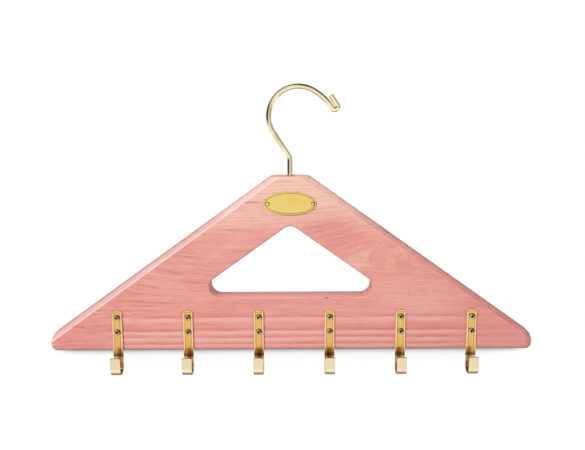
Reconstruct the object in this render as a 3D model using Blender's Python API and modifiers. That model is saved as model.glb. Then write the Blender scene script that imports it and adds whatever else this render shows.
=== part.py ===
"""Belt hanger: a cedar board with a window, a swivelling wire hook and six strip hooks for belts.

Lengths are in metres and +Z is up. +Y points from the board's front face to its back face.
The origin is the point under the crown of the wire hook where a closet rod bears.
"""

import math

import bmesh
import bpy
from mathutils import Matrix, Vector

# Gap between neighbouring pieces that touch
GAP = 0.0003

# Facets of round shapes
MERGE_DISTANCE = 0.000001
SEGMENT_ANGLE = math.radians(9)
SHARP_ANGLE = math.radians(30)
ARRIS_ANGLE = math.radians(55)
BORE_SIDES = 24
SCREW_SIDES = 16
PIN_SIDES = 12
OVAL_SIDES = 48
WIRE_ROUNDNESS = 4
CORNER_SEGMENTS = 6
SCREW_DOME_STEPS = 4
PIN_DOME_STEPS = 3

# Board
BOARD_LENGTH = 0.387
BOARD_HEIGHT = 0.140
BOARD_THICKNESS = 0.019
TOP_EDGE_LENGTH = 0.030
END_HEIGHT = 0.012
TOP_CORNER_RADIUS = 0.0025
END_TOP_RADIUS = 0.0052
END_BOTTOM_RADIUS = 0.0045
EDGE_EASE = 0.0011
SLOPE_CHAMFER = 0.0044

# Window in the board
BOTTOM_RAIL = 0.0435
SIDE_RAIL = 0.039
WINDOW_RADIUS = 0.0085

# Wire hook
WIRE_RADIUS = 0.002
CROOK_RADIUS = 0.0232
CROOK_OFFSET = 0.0069
CROOK_RISE = 0.0462
NECK_RISE = 0.0146
NECK_BEND_RADIUS = 0.007
TIP_ARC_RADIUS = 0.046
TIP_ARC_START = math.radians(60)
TIP_ARC_END = math.radians(34)
TIP_FOLD_GAP = 0.0004
TIP_LEG_LENGTH = 0.0093
UPSET_FLARE = 0.0012
UPSET_HEIGHT = 0.0016
UPSET_SHOULDER = 0.0004

# Swivel fittings on the shank
SHANK_CLEARANCE = 0.0003
BUSH_WALL = 0.0004
BUSH_LENGTH = 0.008
BUSH_STAND = 0.0004
WASHER_WALL = 0.0019
WASHER_THICKNESS = 0.0008
COUNTERBORE_DEPTH = 0.0055

# Belt hooks, bent from flat strip
HOOK_COUNT = 6
HOOK_FROM_END = 0.0515
HOOK_ROW_OFFSET = 0.0026
STRIP_WIDTH = 0.008
STRIP_THICKNESS = 0.0014
STRIP_TOP_RADIUS = 0.0024
STRIP_TIP_RADIUS = 0.0014
STRIP_EDGE_EASE = 0.0003
PLATE_RISE = 0.0335
HOOK_DROP = 0.0109
HOOK_INNER_RADIUS = 0.0056
TONGUE_LENGTH = 0.0089

# Screws of the belt hooks
SCREW_HEAD_RADIUS = 0.0024
SCREW_HEAD_HEIGHT = 0.0014
SCREW_SHANK_RADIUS = 0.0013
SCREW_LENGTH = 0.0127
SCREW_POINT_LENGTH = 0.0025
RECESS_ARM = 0.0013
RECESS_SLOT = 0.0006
RECESS_DEPTH = 0.0008
UPPER_SCREW_FROM_TOP = 0.0058
SCREW_SPACING = 0.012

# Oval plate and its pins
OVAL_LENGTH = 0.0412
OVAL_HEIGHT = 0.0182
OVAL_THICKNESS = 0.0008
OVAL_FROM_TOP = 0.0208
PIN_FROM_END = 0.003
PIN_HEAD_RADIUS = 0.0014
PIN_HEAD_HEIGHT = 0.0007
PIN_SHANK_RADIUS = 0.0006
PIN_LENGTH = 0.009
PIN_POINT_LENGTH = 0.0012

# Places that follow from the sizes above
SHANK_X = -CROOK_OFFSET
CROOK_Z = WIRE_RADIUS - CROOK_RADIUS
BOARD_TOP = CROOK_Z - CROOK_RISE
BOARD_BOTTOM = BOARD_TOP - BOARD_HEIGHT
FRONT = -BOARD_THICKNESS / 2
BACK = BOARD_THICKNESS / 2
HALF_TOP = TOP_EDGE_LENGTH / 2
HALF_LENGTH = BOARD_LENGTH / 2
SLOPE_RISE = BOARD_HEIGHT - END_HEIGHT
SLOPE_RUN = HALF_LENGTH - HALF_TOP
SLOPE_ANGLE = math.atan2(SLOPE_RISE, SLOPE_RUN)
WINDOW_APEX = BOARD_HEIGHT + HALF_TOP * math.tan(SLOPE_ANGLE) - SIDE_RAIL / math.cos(SLOPE_ANGLE)
WINDOW_TOP = WINDOW_APEX - WINDOW_RADIUS * (1 / math.cos(SLOPE_ANGLE) - 1)
WINDOW_HALF_BASE = (WINDOW_APEX - BOTTOM_RAIL) / math.tan(SLOPE_ANGLE)
COUNTERBORE_SEAT = BOARD_BOTTOM + WINDOW_TOP + COUNTERBORE_DEPTH
SHANK_BORE = WIRE_RADIUS + SHANK_CLEARANCE
BUSH_OUTER = SHANK_BORE + BUSH_WALL
WASHER_RADIUS = SHANK_BORE + WASHER_WALL
STRIP_FRONT = FRONT - GAP - STRIP_THICKNESS
SCREW_SEAT = STRIP_FRONT - GAP
UPPER_SCREW_Z = BOARD_BOTTOM + PLATE_RISE - UPPER_SCREW_FROM_TOP
OVAL_FRONT = FRONT - GAP - OVAL_THICKNESS
PIN_SEAT = OVAL_FRONT - GAP
OVAL_Z = BOARD_TOP - OVAL_FROM_TOP

CEDAR = ("cedar", (0.78, 0.42, 0.33), 0.55, 0.0)
PLATED_WIRE = ("plated_wire", (0.84, 0.66, 0.30), 0.12, 1.0)
STRIP_BRASS = ("strip_brass", (0.86, 0.64, 0.30), 0.28, 1.0)
PLATE_BRASS = ("plate_brass", (0.90, 0.72, 0.32), 0.30, 1.0)
SCREW_BRASS = ("screw_brass", (0.80, 0.58, 0.24), 0.22, 1.0)


def clear_scene():
    """Remove every object that the file holds."""
    for item in list(bpy.data.objects):
        bpy.data.objects.remove(item, do_unlink=True)


def new_collection(name):
    """Add a collection to the scene."""
    collection = bpy.data.collections.new(name)
    bpy.context.scene.collection.children.link(collection)
    return collection


def material(finish):
    """Return the Principled material of a finish, made once."""
    name, colour, roughness, metallic = finish
    made = bpy.data.materials.get(name)
    if made is None:
        made = bpy.data.materials.new(name)
        made.use_nodes = True
        shader = made.node_tree.nodes["Principled BSDF"]
        shader.inputs["Base Color"].default_value = (*colour, 1.0)
        shader.inputs["Roughness"].default_value = roughness
        shader.inputs["Metallic"].default_value = metallic
        made.diffuse_color = (*colour, 1.0)
    return made


def place(mesh, name, collection, location=(0, 0, 0), rotation=(0, 0, 0)):
    """Make an object from a mesh at a place."""
    item = bpy.data.objects.new(name, mesh)
    item.location = location
    item.rotation_euler = rotation
    collection.objects.link(item)
    return item


def evaluated_mesh(item, name):
    """Return the object's mesh with its modifiers applied, in its own axes."""
    bpy.context.view_layer.update()
    graph = bpy.context.evaluated_depsgraph_get()
    mesh = bpy.data.meshes.new_from_object(item.evaluated_get(graph))
    mesh.name = name
    return mesh


def finished_mesh(item, name, cutters=()):
    """Return the object's evaluated mesh, and remove the object and the cutters that only it used."""
    mesh = evaluated_mesh(item, name)
    for used in (item, *cutters):
        bpy.data.objects.remove(used, do_unlink=True)
    return mesh


def weld(mesh):
    """Join a mesh's touching points and turn its faces outwards."""
    work = bmesh.new()
    work.from_mesh(mesh)
    bmesh.ops.remove_doubles(work, verts=work.verts, dist=MERGE_DISTANCE)
    bmesh.ops.recalc_face_normals(work, faces=work.faces)
    work.to_mesh(mesh)
    work.free()


def merge_flat_faces(mesh):
    """Make one face of the triangles that lie in one plane."""
    work = bmesh.new()
    work.from_mesh(mesh)
    bmesh.ops.dissolve_limit(work, angle_limit=math.radians(1), verts=work.verts, edges=work.edges)
    work.to_mesh(mesh)
    work.free()


def smooth(mesh):
    """Shade round surfaces smooth and keep the sharp edges sharp."""
    mesh.shade_smooth()
    mesh.set_sharp_from_angle(angle=SHARP_ANGLE)


def cut(item, cutter):
    """Cut one object with another, which becomes a hidden guide."""
    cutter.hide_render = True
    cutter.display_type = "WIRE"
    boolean = item.modifiers.new("cut_" + cutter.name, "BOOLEAN")
    boolean.operation = "DIFFERENCE"
    boolean.solver = "EXACT"
    boolean.object = cutter


def flat_mesh(name, outlines, thickness):
    """Fill closed outlines, the first one outside, and give the face a thickness about its plane."""
    curve = bpy.data.curves.new(name, "CURVE")
    curve.dimensions = "2D"
    curve.fill_mode = "BOTH"
    curve.extrude = thickness / 2
    for outline in outlines:
        spline = curve.splines.new("POLY")
        spline.points.add(len(outline) - 1)
        for point, (x, y) in zip(spline.points, outline):
            point.co = (x, y, 0, 1)
        spline.use_cyclic_u = True
    holder = bpy.data.objects.new(name, curve)
    bpy.context.scene.collection.objects.link(holder)
    mesh = finished_mesh(holder, name)
    weld(mesh)
    if len(outlines) == 1:
        merge_flat_faces(mesh)
    return mesh


def turned_mesh(name, profile, steps, closed=False):
    """Turn a profile of (radius, height) points, given from top to bottom, about Z."""
    mesh = bpy.data.meshes.new(name)
    points = [(radius, 0, height) for radius, height in profile]
    edges = [(i, i + 1) for i in range(len(points) - 1)]
    if closed:
        edges.append((len(points) - 1, 0))
    mesh.from_pydata(points, edges, [])
    holder = bpy.data.objects.new(name, mesh)
    bpy.context.scene.collection.objects.link(holder)
    screw = holder.modifiers.new("turn", "SCREW")
    screw.axis = "Z"
    screw.angle = math.tau
    screw.steps = steps
    screw.render_steps = steps
    screw.use_merge_vertices = True
    screw.merge_threshold = 0.00001
    turned = finished_mesh(holder, name)
    weld(turned)
    smooth(turned)
    return turned


def drill(name, radius, start, end, guides, sides):
    """Make a round cutter that runs from one point to another."""
    mesh = bpy.data.meshes.new(name)
    work = bmesh.new()
    way = Vector(end) - Vector(start)
    turn = way.to_track_quat("Z", "Y").to_matrix().to_4x4()
    middle = (Vector(start) + Vector(end)) / 2
    bmesh.ops.create_cone(work, cap_ends=True, segments=sides, radius1=radius, radius2=radius,
                          depth=way.length, matrix=Matrix.Translation(middle) @ turn)
    work.to_mesh(mesh)
    work.free()
    return place(mesh, name, guides)


def rounded_outline(corners):
    """Round each corner of an outline given as (x, y, radius), and return its points in order."""
    points = []
    count = len(corners)
    for i, (x, y, radius) in enumerate(corners):
        here = Vector((x, y))
        before = (Vector(corners[i - 1][:2]) - here).normalized()
        after = (Vector(corners[(i + 1) % count][:2]) - here).normalized()
        half = before.angle(after) / 2
        centre = here + (before + after).normalized() * radius / math.sin(half)
        start = here + before * radius / math.tan(half)
        sweep = math.pi - 2 * half
        turn = 1 if before.cross(after) < 0 else -1
        steps = max(2, math.ceil(sweep / SEGMENT_ANGLE))
        arm = start - centre
        for step in range(steps + 1):
            points.append(centre + Matrix.Rotation(turn * sweep * step / steps, 2) @ arm)
    return [(point.x, point.y) for point in points]


def board_outline():
    """Return the board's outer outline, from its bottom edge's middle."""
    return rounded_outline([
        (-HALF_LENGTH, 0, END_BOTTOM_RADIUS),
        (HALF_LENGTH, 0, END_BOTTOM_RADIUS),
        (HALF_LENGTH, END_HEIGHT, END_TOP_RADIUS),
        (HALF_TOP, BOARD_HEIGHT, TOP_CORNER_RADIUS),
        (-HALF_TOP, BOARD_HEIGHT, TOP_CORNER_RADIUS),
        (-HALF_LENGTH, END_HEIGHT, END_TOP_RADIUS),
    ])


def window_outline():
    """Return the window's outline, whose sides run along the board's slopes."""
    return rounded_outline([
        (-WINDOW_HALF_BASE, BOTTOM_RAIL, WINDOW_RADIUS),
        (WINDOW_HALF_BASE, BOTTOM_RAIL, WINDOW_RADIUS),
        (0, WINDOW_APEX, WINDOW_RADIUS),
    ])


def slope_chamfer_cutter(side, face, guides):
    """Make a bar that takes the arris off one slope, on the front (-1) or the back (1) face."""
    over = SLOPE_CHAMFER
    length = math.hypot(SLOPE_RISE, SLOPE_RUN) + TOP_EDGE_LENGTH + BOARD_THICKNESS
    section = [(-SLOPE_CHAMFER - over, over), (over, -SLOPE_CHAMFER - over), (over, over)]
    mesh = flat_mesh("slope_chamfer", [section], length)
    bar = place(mesh, f"slope_chamfer_{side:+d}_{face:+d}", guides)
    along = Vector((-side * math.cos(SLOPE_ANGLE), 0, math.sin(SLOPE_ANGLE)))
    out = Vector((side * math.sin(SLOPE_ANGLE), 0, math.cos(SLOPE_ANGLE)))
    depth = Vector((0, face, 0))
    middle = Vector((SHANK_X + side * (HALF_LENGTH + HALF_TOP) / 2, face * BACK,
                     BOARD_BOTTOM + (BOARD_HEIGHT + END_HEIGHT) / 2))
    mesh.transform(Matrix((out, depth, along)).transposed().to_4x4())
    mesh.transform(Matrix.Translation(middle))
    weld(mesh)
    return bar


def hook_positions():
    """Return the X of each belt hook, from left to right."""
    reach = HALF_LENGTH - HOOK_FROM_END
    first = SHANK_X + HOOK_ROW_OFFSET - reach
    return [first + 2 * reach * i / (HOOK_COUNT - 1) for i in range(HOOK_COUNT)]


def screw_heights():
    """Return the Z of the upper and the lower screw of a belt hook."""
    return {"upper": UPPER_SCREW_Z, "lower": UPPER_SCREW_Z - SCREW_SPACING}


def pin_positions():
    """Return the X of the oval plate's two pins."""
    reach = OVAL_LENGTH / 2 - PIN_FROM_END
    return {"left": SHANK_X - reach, "right": SHANK_X + reach}


def drill_shank_bores(board, guides):
    """Drill the board for the wire's shank, the bush at the top and the washer at the bottom."""
    over = EDGE_EASE + GAP
    window_top = BOARD_BOTTOM + WINDOW_TOP
    bores = {
        "shank_bore": (SHANK_BORE, BOARD_TOP + over, window_top - over),
        "bush_seat": (BUSH_OUTER + GAP, BOARD_TOP + over, BOARD_TOP + BUSH_STAND - BUSH_LENGTH - GAP),
        "washer_seat": (WASHER_RADIUS + GAP, COUNTERBORE_SEAT, window_top - WINDOW_RADIUS),
    }
    for name, (radius, top, bottom) in bores.items():
        cut(board, drill(name, radius, (SHANK_X, 0, top), (SHANK_X, 0, bottom), guides, BORE_SIDES))


def drill_pilot_holes(board, guides):
    """Drill the board's front face for the screws and the plate's pins."""
    mouth = FRONT - EDGE_EASE
    for number, x in enumerate(hook_positions(), 1):
        for row, z in screw_heights().items():
            cut(board, drill(f"pilot_{number}_{row}", SCREW_SHANK_RADIUS + GAP, (x, mouth, z),
                             (x, SCREW_SEAT + SCREW_LENGTH + GAP, z), guides, SCREW_SIDES))
    for side, x in pin_positions().items():
        cut(board, drill(f"pin_hole_{side}", PIN_SHANK_RADIUS + GAP, (x, mouth, OVAL_Z),
                         (x, PIN_SEAT + PIN_LENGTH + GAP, OVAL_Z), guides, PIN_SIDES))


def build_board(parts, guides):
    """Make the cedar board with its window, chamfered slopes, shank bore and pilot holes."""
    mesh = flat_mesh("board", [board_outline(), window_outline()], BOARD_THICKNESS)
    mesh.transform(Matrix.Rotation(math.pi / 2, 4, "X"))
    mesh.materials.append(material(CEDAR))
    board = place(mesh, "board", parts, (SHANK_X, 0, BOARD_BOTTOM))
    ease = board.modifiers.new("ease_arrises", "BEVEL")
    ease.width = EDGE_EASE
    ease.segments = 2
    ease.limit_method = "ANGLE"
    ease.angle_limit = ARRIS_ANGLE
    ease.loop_slide = False
    ease.use_clamp_overlap = False
    for side in (-1, 1):
        for face in (-1, 1):
            cut(board, slope_chamfer_cutter(side, face, guides))
    drill_shank_bores(board, guides)
    drill_pilot_holes(board, guides)
    return board


def arc_points(centre, radius, start, end):
    """Return points on an arc in the XZ plane, from one angle to another."""
    steps = max(3, math.ceil(abs(end - start) / SEGMENT_ANGLE))
    angles = [start + (end - start) * step / steps for step in range(steps + 1)]
    return [(centre[0] + radius * math.cos(a), centre[1] + radius * math.sin(a)) for a in angles]


def wire_path():
    """Return the wire's centreline above the board as (x, z) points, from the shank to the free tip."""
    centre = (0.0, CROOK_Z)
    corner = (SHANK_X, BOARD_TOP + NECK_RISE)
    reach = math.hypot(centre[0] - corner[0], centre[1] - corner[1])
    bearing = math.atan2(centre[1] - corner[1], centre[0] - corner[0])
    neck = bearing + math.asin(CROOK_RADIUS / reach)
    lean = neck - math.pi / 2
    setback = NECK_BEND_RADIUS * math.tan(lean / 2)
    bend_centre = (SHANK_X - NECK_BEND_RADIUS, corner[1] - setback)
    points = arc_points(bend_centre, NECK_BEND_RADIUS, 0, lean)
    points += arc_points(centre, CROOK_RADIUS, neck + math.pi / 2, TIP_ARC_START)
    shift = CROOK_RADIUS - TIP_ARC_RADIUS
    tip_centre = (shift * math.cos(TIP_ARC_START), CROOK_Z + shift * math.sin(TIP_ARC_START))
    points += arc_points(tip_centre, TIP_ARC_RADIUS, TIP_ARC_START, TIP_ARC_END)[1:]
    fold_radius = WIRE_RADIUS + TIP_FOLD_GAP / 2
    end = Vector(points[-1])
    out = Vector((math.cos(TIP_ARC_END), math.sin(TIP_ARC_END)))
    fold_centre = end + out * fold_radius
    points += arc_points(fold_centre, fold_radius, TIP_ARC_END + math.pi, TIP_ARC_END + math.tau)[1:]
    leg = Vector((-out.y, out.x)) * TIP_LEG_LENGTH
    points.append(tuple(Vector(points[-1]) + leg))
    return points


def build_wire_hook(parts):
    """Make the wire hook, whose lower end is upset below the washer."""
    upset_top = COUNTERBORE_SEAT - WASHER_THICKNESS - 2 * GAP
    upset = 1 + UPSET_FLARE / WIRE_RADIUS
    stations = [
        (SHANK_X, upset_top - UPSET_HEIGHT, 1.0),
        (SHANK_X, upset_top - UPSET_HEIGHT + UPSET_SHOULDER, upset),
        (SHANK_X, upset_top - UPSET_SHOULDER, upset),
        (SHANK_X, upset_top, 1.0),
    ]
    stations += [(x, z, 1.0) for x, z in wire_path()]
    curve = bpy.data.curves.new("wire_hook", "CURVE")
    curve.dimensions = "3D"
    curve.bevel_depth = WIRE_RADIUS
    curve.bevel_resolution = WIRE_ROUNDNESS
    curve.use_fill_caps = True
    spline = curve.splines.new("POLY")
    spline.points.add(len(stations) - 1)
    for point, (x, z, radius) in zip(spline.points, stations):
        point.co = (x, 0, z, 1)
        point.radius = radius
    holder = bpy.data.objects.new("wire_hook", curve)
    parts.objects.link(holder)
    mesh = finished_mesh(holder, "wire_hook")
    weld(mesh)
    smooth(mesh)
    mesh.materials.append(material(PLATED_WIRE))
    return place(mesh, "wire_hook", parts)


def ring_mesh(name, outer, height):
    """Return the mesh of a plain ring round the shank, with its top at Z = 0."""
    profile = [(outer, 0), (outer, -height), (SHANK_BORE, -height), (SHANK_BORE, 0)]
    mesh = turned_mesh(name, profile, BORE_SIDES, closed=True)
    mesh.materials.append(material(SCREW_BRASS))
    return mesh


def build_swivel_fittings(parts):
    """Make the bush in the board's top edge and the washer that carries the board."""
    bush = ring_mesh("shank_bush", BUSH_OUTER, BUSH_LENGTH)
    washer = ring_mesh("shank_washer", WASHER_RADIUS, WASHER_THICKNESS)
    return [
        place(bush, "shank_bush", parts, (SHANK_X, 0, BOARD_TOP + BUSH_STAND)),
        place(washer, "shank_washer", parts, (SHANK_X, 0, COUNTERBORE_SEAT - GAP)),
    ]


def strip_outline():
    """Return the side outline of a belt hook as (y, z) points, from the top of its back face."""
    outer = HOOK_INNER_RADIUS + STRIP_THICKNESS
    back = FRONT - GAP
    centre = (back - outer, -HOOK_DROP)
    tip = TONGUE_LENGTH - HOOK_DROP
    points = [(back, PLATE_RISE)]
    points += arc_points(centre, outer, 0, -math.pi)
    points += [(back - 2 * outer, tip), (back - 2 * outer + STRIP_THICKNESS, tip)]
    points += arc_points(centre, HOOK_INNER_RADIUS, -math.pi, 0)
    points.append((back - STRIP_THICKNESS, PLATE_RISE))
    return points


def round_strip_corners(mesh, height, radius):
    """Round the two corners of the strip at a height, seen from the front."""
    work = bmesh.new()
    work.from_mesh(mesh)
    corners = [
        edge for edge in work.edges
        if all(abs(v.co.z - height) < MERGE_DISTANCE for v in edge.verts)
        and abs(edge.verts[0].co.x - edge.verts[1].co.x) < MERGE_DISTANCE
    ]
    bmesh.ops.bevel(work, geom=corners, offset=radius, offset_type="OFFSET", segments=CORNER_SEGMENTS,
                    profile=0.5, affect="EDGES", clamp_overlap=True)
    work.to_mesh(mesh)
    work.free()


def belt_hook_mesh(guides):
    """Make the mesh that the belt hooks share, with its middle at X = 0 and the board's bottom at Z = 0."""
    mesh = flat_mesh("belt_hook", [strip_outline()], STRIP_WIDTH)
    mesh.transform(Matrix(((0, 0, 1, 0), (1, 0, 0, 0), (0, 1, 0, 0), (0, 0, 0, 1))))
    round_strip_corners(mesh, PLATE_RISE, STRIP_TOP_RADIUS)
    round_strip_corners(mesh, TONGUE_LENGTH - HOOK_DROP, STRIP_TIP_RADIUS)
    holder = place(mesh, "belt_hook_pattern", guides)
    ease = holder.modifiers.new("ease_edges", "BEVEL")
    ease.width = STRIP_EDGE_EASE
    ease.segments = 1
    ease.limit_method = "ANGLE"
    ease.angle_limit = ARRIS_ANGLE
    ease.loop_slide = False
    ease.use_clamp_overlap = False
    holes = []
    for row, z in screw_heights().items():
        height = z - BOARD_BOTTOM
        hole = drill(f"strip_hole_{row}", SCREW_SHANK_RADIUS + GAP, (0, SCREW_SEAT, height),
                     (0, FRONT, height), guides, SCREW_SIDES)
        cut(holder, hole)
        holes.append(hole)
    made = finished_mesh(holder, "belt_hook", holes)
    smooth(made)
    made.materials.append(material(STRIP_BRASS))
    return made


def dome_profile(radius, height, steps):
    """Return the profile of a low dome from its crown to its rim, as (radius, height) points."""
    sphere = (radius * radius + height * height) / (2 * height)
    reach = math.asin(radius / sphere)
    return [(sphere * math.sin(reach * i / steps), sphere * math.cos(reach * i / steps) - sphere + height)
            for i in range(steps + 1)]


def recess_cutter(guides):
    """Make the cross-shaped cutter of a screw's recess, grown from a bar at its middle."""
    mesh = bpy.data.meshes.new("recess")
    work = bmesh.new()
    bmesh.ops.create_cube(work, size=RECESS_SLOT)
    bmesh.ops.scale(work, vec=(1, 1, 2 * RECESS_DEPTH / RECESS_SLOT), verts=work.verts)
    for face in [face for face in work.faces if abs(face.normal.z) < 0.5]:
        outwards = face.normal.copy()
        grown = bmesh.ops.extrude_discrete_faces(work, faces=[face])["faces"][0]
        bmesh.ops.translate(work, vec=outwards * (RECESS_ARM - RECESS_SLOT / 2), verts=grown.verts)
    bmesh.ops.translate(work, vec=(0, 0, SCREW_HEAD_HEIGHT), verts=work.verts)
    work.to_mesh(mesh)
    work.free()
    return place(mesh, "recess", guides)


def screw_mesh(guides):
    """Make the mesh that the screws share: dome head at Z = 0 upwards, shank and point below."""
    profile = dome_profile(SCREW_HEAD_RADIUS, SCREW_HEAD_HEIGHT, SCREW_DOME_STEPS)
    profile += [
        (SCREW_SHANK_RADIUS, 0),
        (SCREW_SHANK_RADIUS, SCREW_POINT_LENGTH - SCREW_LENGTH),
        (0, -SCREW_LENGTH),
    ]
    holder = place(turned_mesh("screw", profile, SCREW_SIDES), "screw_pattern", guides)
    recess = recess_cutter(guides)
    cut(holder, recess)
    made = finished_mesh(holder, "screw", [recess])
    smooth(made)
    made.materials.append(material(SCREW_BRASS))
    return made


def build_belt_hooks(parts, guides):
    """Make the six belt hooks and their twelve screws."""
    strip = belt_hook_mesh(guides)
    screw = screw_mesh(guides)
    made = []
    for number, x in enumerate(hook_positions(), 1):
        made.append(place(strip, f"belt_hook_{number}", parts, (x, 0, BOARD_BOTTOM)))
        for row, z in screw_heights().items():
            made.append(place(screw, f"hook_{number}_screw_{row}", parts, (x, SCREW_SEAT, z),
                              (math.pi / 2, 0, 0)))
    return made


def oval_outline():
    """Return the oval plate's outline."""
    angles = [math.tau * i / OVAL_SIDES for i in range(OVAL_SIDES)]
    return [(OVAL_LENGTH / 2 * math.cos(a), OVAL_HEIGHT / 2 * math.sin(a)) for a in angles]


def pin_mesh():
    """Make the mesh that the plate's pins share: dome head at Z = 0 upwards, shank and point below."""
    profile = dome_profile(PIN_HEAD_RADIUS, PIN_HEAD_HEIGHT, PIN_DOME_STEPS)
    profile += [
        (PIN_SHANK_RADIUS, 0),
        (PIN_SHANK_RADIUS, PIN_POINT_LENGTH - PIN_LENGTH),
        (0, -PIN_LENGTH),
    ]
    made = turned_mesh("plate_pin", profile, PIN_SIDES)
    made.materials.append(material(SCREW_BRASS))
    return made


def build_name_plate(parts, guides):
    """Make the bare oval plate and its two domed pins."""
    mesh = flat_mesh("name_plate", [oval_outline()], OVAL_THICKNESS)
    mesh.transform(Matrix.Rotation(math.pi / 2, 4, "X"))
    mesh.materials.append(material(PLATE_BRASS))
    plate = place(mesh, "name_plate", parts, (SHANK_X, OVAL_FRONT + OVAL_THICKNESS / 2, OVAL_Z))
    pin = pin_mesh()
    made = [plate]
    for side, x in pin_positions().items():
        cut(plate, drill(f"plate_hole_{side}", PIN_SHANK_RADIUS + GAP, (x, PIN_SEAT, OVAL_Z),
                         (x, FRONT, OVAL_Z), guides, PIN_SIDES))
        made.append(place(pin, f"plate_pin_{side}", parts, (x, PIN_SEAT, OVAL_Z), (math.pi / 2, 0, 0)))
    return made


def hang_on_swivel(pieces, parts):
    """Parent the board and all that is fixed to it to an empty on the swivel's axis."""
    swivel = bpy.data.objects.new("hook_swivel", None)
    swivel.location = (SHANK_X, 0, BOARD_TOP)
    parts.objects.link(swivel)
    bpy.context.view_layer.update()
    for piece in pieces:
        piece.parent = swivel
        piece.matrix_parent_inverse = swivel.matrix_world.inverted()


def main():
    """Build the belt hanger."""
    clear_scene()
    parts = new_collection("belt_hanger")
    guides = new_collection("cutters")
    build_wire_hook(parts)
    turning = [build_board(parts, guides)]
    turning += build_swivel_fittings(parts)
    turning += build_belt_hooks(parts, guides)
    turning += build_name_plate(parts, guides)
    hang_on_swivel(turning, parts)


main()
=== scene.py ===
"""Looks of the cedar belt hanger: its refined pieces, their finishes, the studio and the camera.

Lengths are in metres unless a name says otherwise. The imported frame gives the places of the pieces.
"""

import logging
import math
from dataclasses import dataclass, field
from enum import Enum
from typing import Any, Iterable, Sequence

import bmesh
import bpy
from mathutils import Euler, Matrix, Vector


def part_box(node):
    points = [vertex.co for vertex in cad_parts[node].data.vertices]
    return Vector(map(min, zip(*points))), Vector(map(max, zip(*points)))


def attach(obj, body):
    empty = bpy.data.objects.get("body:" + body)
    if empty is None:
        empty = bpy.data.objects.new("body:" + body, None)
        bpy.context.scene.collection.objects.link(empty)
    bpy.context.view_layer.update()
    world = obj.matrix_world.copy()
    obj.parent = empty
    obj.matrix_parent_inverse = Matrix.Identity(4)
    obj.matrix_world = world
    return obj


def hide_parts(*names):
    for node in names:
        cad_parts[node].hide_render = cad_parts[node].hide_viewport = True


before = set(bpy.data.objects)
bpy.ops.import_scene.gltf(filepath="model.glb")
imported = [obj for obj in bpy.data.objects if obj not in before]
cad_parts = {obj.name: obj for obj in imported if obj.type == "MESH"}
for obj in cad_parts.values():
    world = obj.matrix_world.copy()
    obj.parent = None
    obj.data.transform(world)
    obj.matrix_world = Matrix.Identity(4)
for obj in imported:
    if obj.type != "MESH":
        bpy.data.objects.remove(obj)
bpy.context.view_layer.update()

HOOK_BODY = "hook"
HANGER_BODY = "hanger"
GAP = 0.0003
MERGE_DISTANCE = 0.000001
MILLIMETRES = 1000.0
CORNER_SIDES = 144
ROD_SIDES = 32
FLAT_DEGREES = 0.2
CORNER_DEGREES = 60.0
SHARP_DEGREES = 32.0
NORMAL_WEIGHT = 80
FACING = 0.9
SAME_WAY = 0.9999
UP = Vector((0, 0, 1))
FRONT = Vector((0, -1, 0))
LYING = Matrix.Rotation(math.pi / 2, 4, "X")
WHITE = (1.0, 1.0, 1.0)
BLACK = (0.0, 0.0, 0.0)

log = logging.getLogger("belt_hanger")

Colour = tuple[float, float, float]
Point = tuple[float, float, float]
Place = tuple["Term", "Term", "Term"]


class Slot(Enum):
    """The names of the material slots."""

    CEDAR = "cedar"
    WIRE = "plated_wire"
    STRIP = "strip_brass"
    PLATE = "plate_brass"
    SCREW = "screw_brass"


def srgb(red: int, green: int, blue: int) -> Colour:
    """Turn a colour as a screen shows it into the linear values that a shader takes.

    Args:
        red: Red from 0 to 255.
        green: Green from 0 to 255.
        blue: Blue from 0 to 255.

    Returns:
        The linear colour.
    """
    def linear(level: int) -> float:
        """Return one channel's linear value."""
        share = level / 255
        return share / 12.92 if share <= 0.04045 else ((share + 0.055) / 1.055) ** 2.4

    return (linear(red), linear(green), linear(blue))


def operation(name: str, reflected: bool = False) -> Any:
    """Make a method of a term that adds one Math node.

    Args:
        name: The Math node's operation.
        reflected: Whether the other value comes before the term.

    Returns:
        The method.
    """
    def method(self: "Term", *others: "Term | float") -> "Term":
        """Return the Math node's result."""
        values = [*others, self] if reflected else [self, *others]
        node = self.paint.node("Math", {"operation": name}, dict(enumerate(values)))
        return Term(self.paint, node.outputs[0])

    return method


class Term:
    """A number's socket in a material, on which Python's arithmetic adds Math nodes."""

    __add__ = __radd__ = operation("ADD")
    __sub__ = operation("SUBTRACT")
    __rsub__ = operation("SUBTRACT", reflected=True)
    __mul__ = __rmul__ = operation("MULTIPLY")
    __truediv__ = operation("DIVIDE")
    __rtruediv__ = operation("DIVIDE", reflected=True)
    __pow__ = operation("POWER")
    __abs__ = operation("ABSOLUTE")
    floor = operation("FLOOR")
    fraction = operation("FRACT")
    sine = operation("SINE")
    least = operation("MINIMUM")
    most = operation("MAXIMUM")

    def __init__(self, paint: "Paint", socket: bpy.types.NodeSocket) -> None:
        """Wrap an output socket of a paint that holds a number."""
        self.paint = paint
        self.socket = socket

    def reach(self, other: "Term") -> "Term":
        """Return how far off a point lies that is so far one way and so far the other."""
        return (self * self + other * other) ** 0.5

    def ease(self, start: float, end: float) -> "Term":
        """Return 0 before start, 1 after end and a smooth step between, which also runs backwards.

        Args:
            start: The value at which the step is 0.
            end: The value at which the step is 1.

        Returns:
            The step.
        """
        low, high = min(start, end), max(start, end)
        ends = (0.0, 1.0) if start < end else (1.0, 0.0)
        settings = {"interpolation_type": "SMOOTHSTEP", "clamp": True}
        values = {"Value": self, "From Min": low, "From Max": high, "To Min": ends[0], "To Max": ends[1]}
        return Term(self.paint, self.paint.node("MapRange", settings, values).outputs["Result"])


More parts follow.
